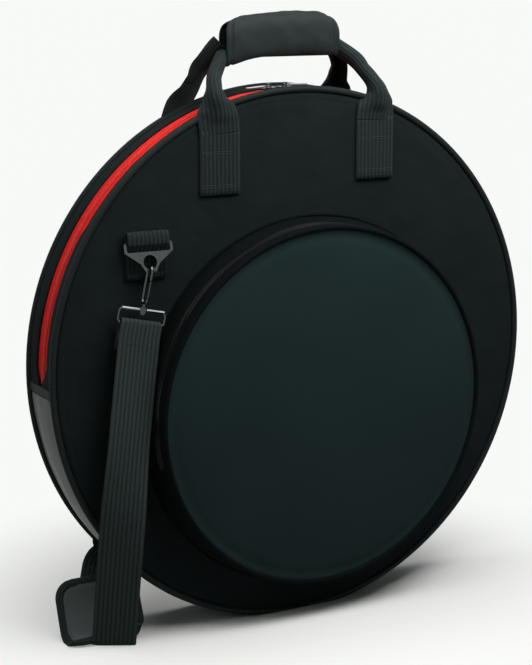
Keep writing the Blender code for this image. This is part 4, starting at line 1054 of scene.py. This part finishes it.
# ---- room, light and camera
def seen_directly(tree, plain, seen):
    # What camera, mirror and glass rays meet, in place of what lights the object
    rays = tree.nodes.new("ShaderNodeLightPath")
    for kind in ("Is Camera Ray", "Is Glossy Ray", "Is Transmission Ray"):
        mix = tree.nodes.new("ShaderNodeMixShader")
        tree.links.new(rays.outputs[kind], mix.inputs["Fac"])
        tree.links.new(plain, mix.inputs[1])
        tree.links.new(seen, mix.inputs[2])
        plain = mix.outputs["Shader"]
    return plain


def floor_material():
    # Plain floor near the bag, where its shadow lies, that fades to the backdrop's white further out
    made, tree, shader = new_material("floor")
    place = node(tree, "ShaderNodeTexCoord").outputs["Object"]
    tone = noise_of(tree, place, scale=1.5, detail=2.0)
    tree.links.new(tinted(tree, tone, (0.88, 0.88, 0.86), (0.91, 0.91, 0.89)), shader.inputs["Base Color"])
    set_inputs(shader, {"Roughness": 0.8, "Specular IOR Level": 0.1})
    far = node(tree, "ShaderNodeEmission", {"Color": (0.935, 0.95, 0.935, 1), "Strength": 1.0})
    shrink = node(tree, "ShaderNodeMapping", {"Scale": (2.0, 2.0, 2.0)})
    tree.links.new(place, shrink.inputs["Vector"])
    away = node(tree, "ShaderNodeTexGradient", gradient_type="SPHERICAL")
    tree.links.new(shrink.outputs["Vector"], away.inputs["Vector"])
    ramp = node(tree, "ShaderNodeValToRGB")
    ramp.color_ramp.interpolation = "EASE"
    ramp.color_ramp.elements[1].position = 0.72
    tree.links.new(away.outputs["Fac"], ramp.inputs["Fac"])
    mask = node(tree, "ShaderNodeMixShader")
    tree.links.new(ramp.outputs["Color"], mask.inputs["Fac"])
    tree.links.new(far.outputs["Emission"], mask.inputs[1])
    tree.links.new(shader.outputs["BSDF"], mask.inputs[2])
    dim = node(tree, "ShaderNodeBsdfDiffuse", {"Color": (0.32, 0.32, 0.31, 1)})
    shown = seen_directly(tree, dim.outputs["BSDF"], mask.outputs["Shader"])
    tree.links.new(shown, tree.nodes["Material Output"].inputs["Surface"])
    return made


def make_room():
    mesh = bpy.data.meshes.new("floor")
    reach = 40.0
    corners = [(-reach, -reach, 0), (reach, -reach, 0), (reach, reach, 0), (-reach, reach, 0)]
    mesh.from_pydata(corners, [], [(0, 1, 2, 3)])
    mesh.materials.append(floor_material())
    floor = bpy.data.objects.new("floor", mesh)
    bpy.context.scene.collection.objects.link(floor)
    world = bpy.data.worlds.new("studio")
    world.use_nodes = True
    bpy.context.scene.world = world
    tree = world.node_tree
    tree.nodes.clear()
    out = tree.nodes.new("ShaderNodeOutputWorld")
    seen = node(tree, "ShaderNodeBackground", {"Color": (0.947, 0.965, 0.956, 1), "Strength": 1.0})
    fill = node(tree, "ShaderNodeBackground", {"Color": (0.93, 0.97, 1.0, 1), "Strength": 0.06})
    shown = seen_directly(tree, fill.outputs["Background"], seen.outputs["Background"])
    tree.links.new(shown, out.inputs["Surface"])


def area_light(name, place, aim, size, power):
    data = bpy.data.lights.new(name, "AREA")
    data.shape = "RECTANGLE"
    data.size, data.size_y = size
    data.energy = power
    lamp = bpy.data.objects.new(name, data)
    lamp.location = place
    lamp.rotation_euler = (Vector(aim) - Vector(place)).to_track_quat("-Z", "Y").to_euler()
    lamp.visible_camera = False
    bpy.context.scene.collection.objects.link(lamp)


def make_lights():
    area_light("near", (0.20, -0.46, 1.00), (0.03, -0.06, 0.33), (0.8, 0.35), 7.6)
    area_light("top", (-0.55, -0.05, 2.2), (-0.10, 0, 0.2), (1.6, 1.2), 27)
    area_light("left", (-1.7, -0.9, 1.3), (-0.1, 0, 0.3), (0.8, 0.8), 3)


CAMERA_PLACE = (-0.9583, -1.6776, 0.7179)
CAMERA_RIGHT = Vector((0.873948, -0.486020, 0.0))
CAMERA_UP = Vector((0.098860, 0.177766, 0.979094))


def make_camera():
    data = bpy.data.cameras.new("camera")
    data.sensor_fit = "AUTO"
    data.sensor_width = 36
    data.lens = 94.53
    camera = bpy.data.objects.new("camera", data)
    camera.location = CAMERA_PLACE
    back = CAMERA_RIGHT.cross(CAMERA_UP).normalized()
    up = back.cross(CAMERA_RIGHT).normalized()
    turn = Matrix((CAMERA_RIGHT, up, back)).transposed()
    camera.rotation_mode = "QUATERNION"
    camera.rotation_quaternion = turn.to_quaternion()
    bpy.context.scene.collection.objects.link(camera)
    bpy.context.scene.camera = camera


make_body()
make_pocket()
make_tabs()
make_legs()
make_grip()
make_ring_tabs()
make_hardware()
make_strap()
make_back_strap()
make_pad()
make_room()
make_lights()
make_camera()
bpy.context.scene.view_settings.view_transform = "Standard"
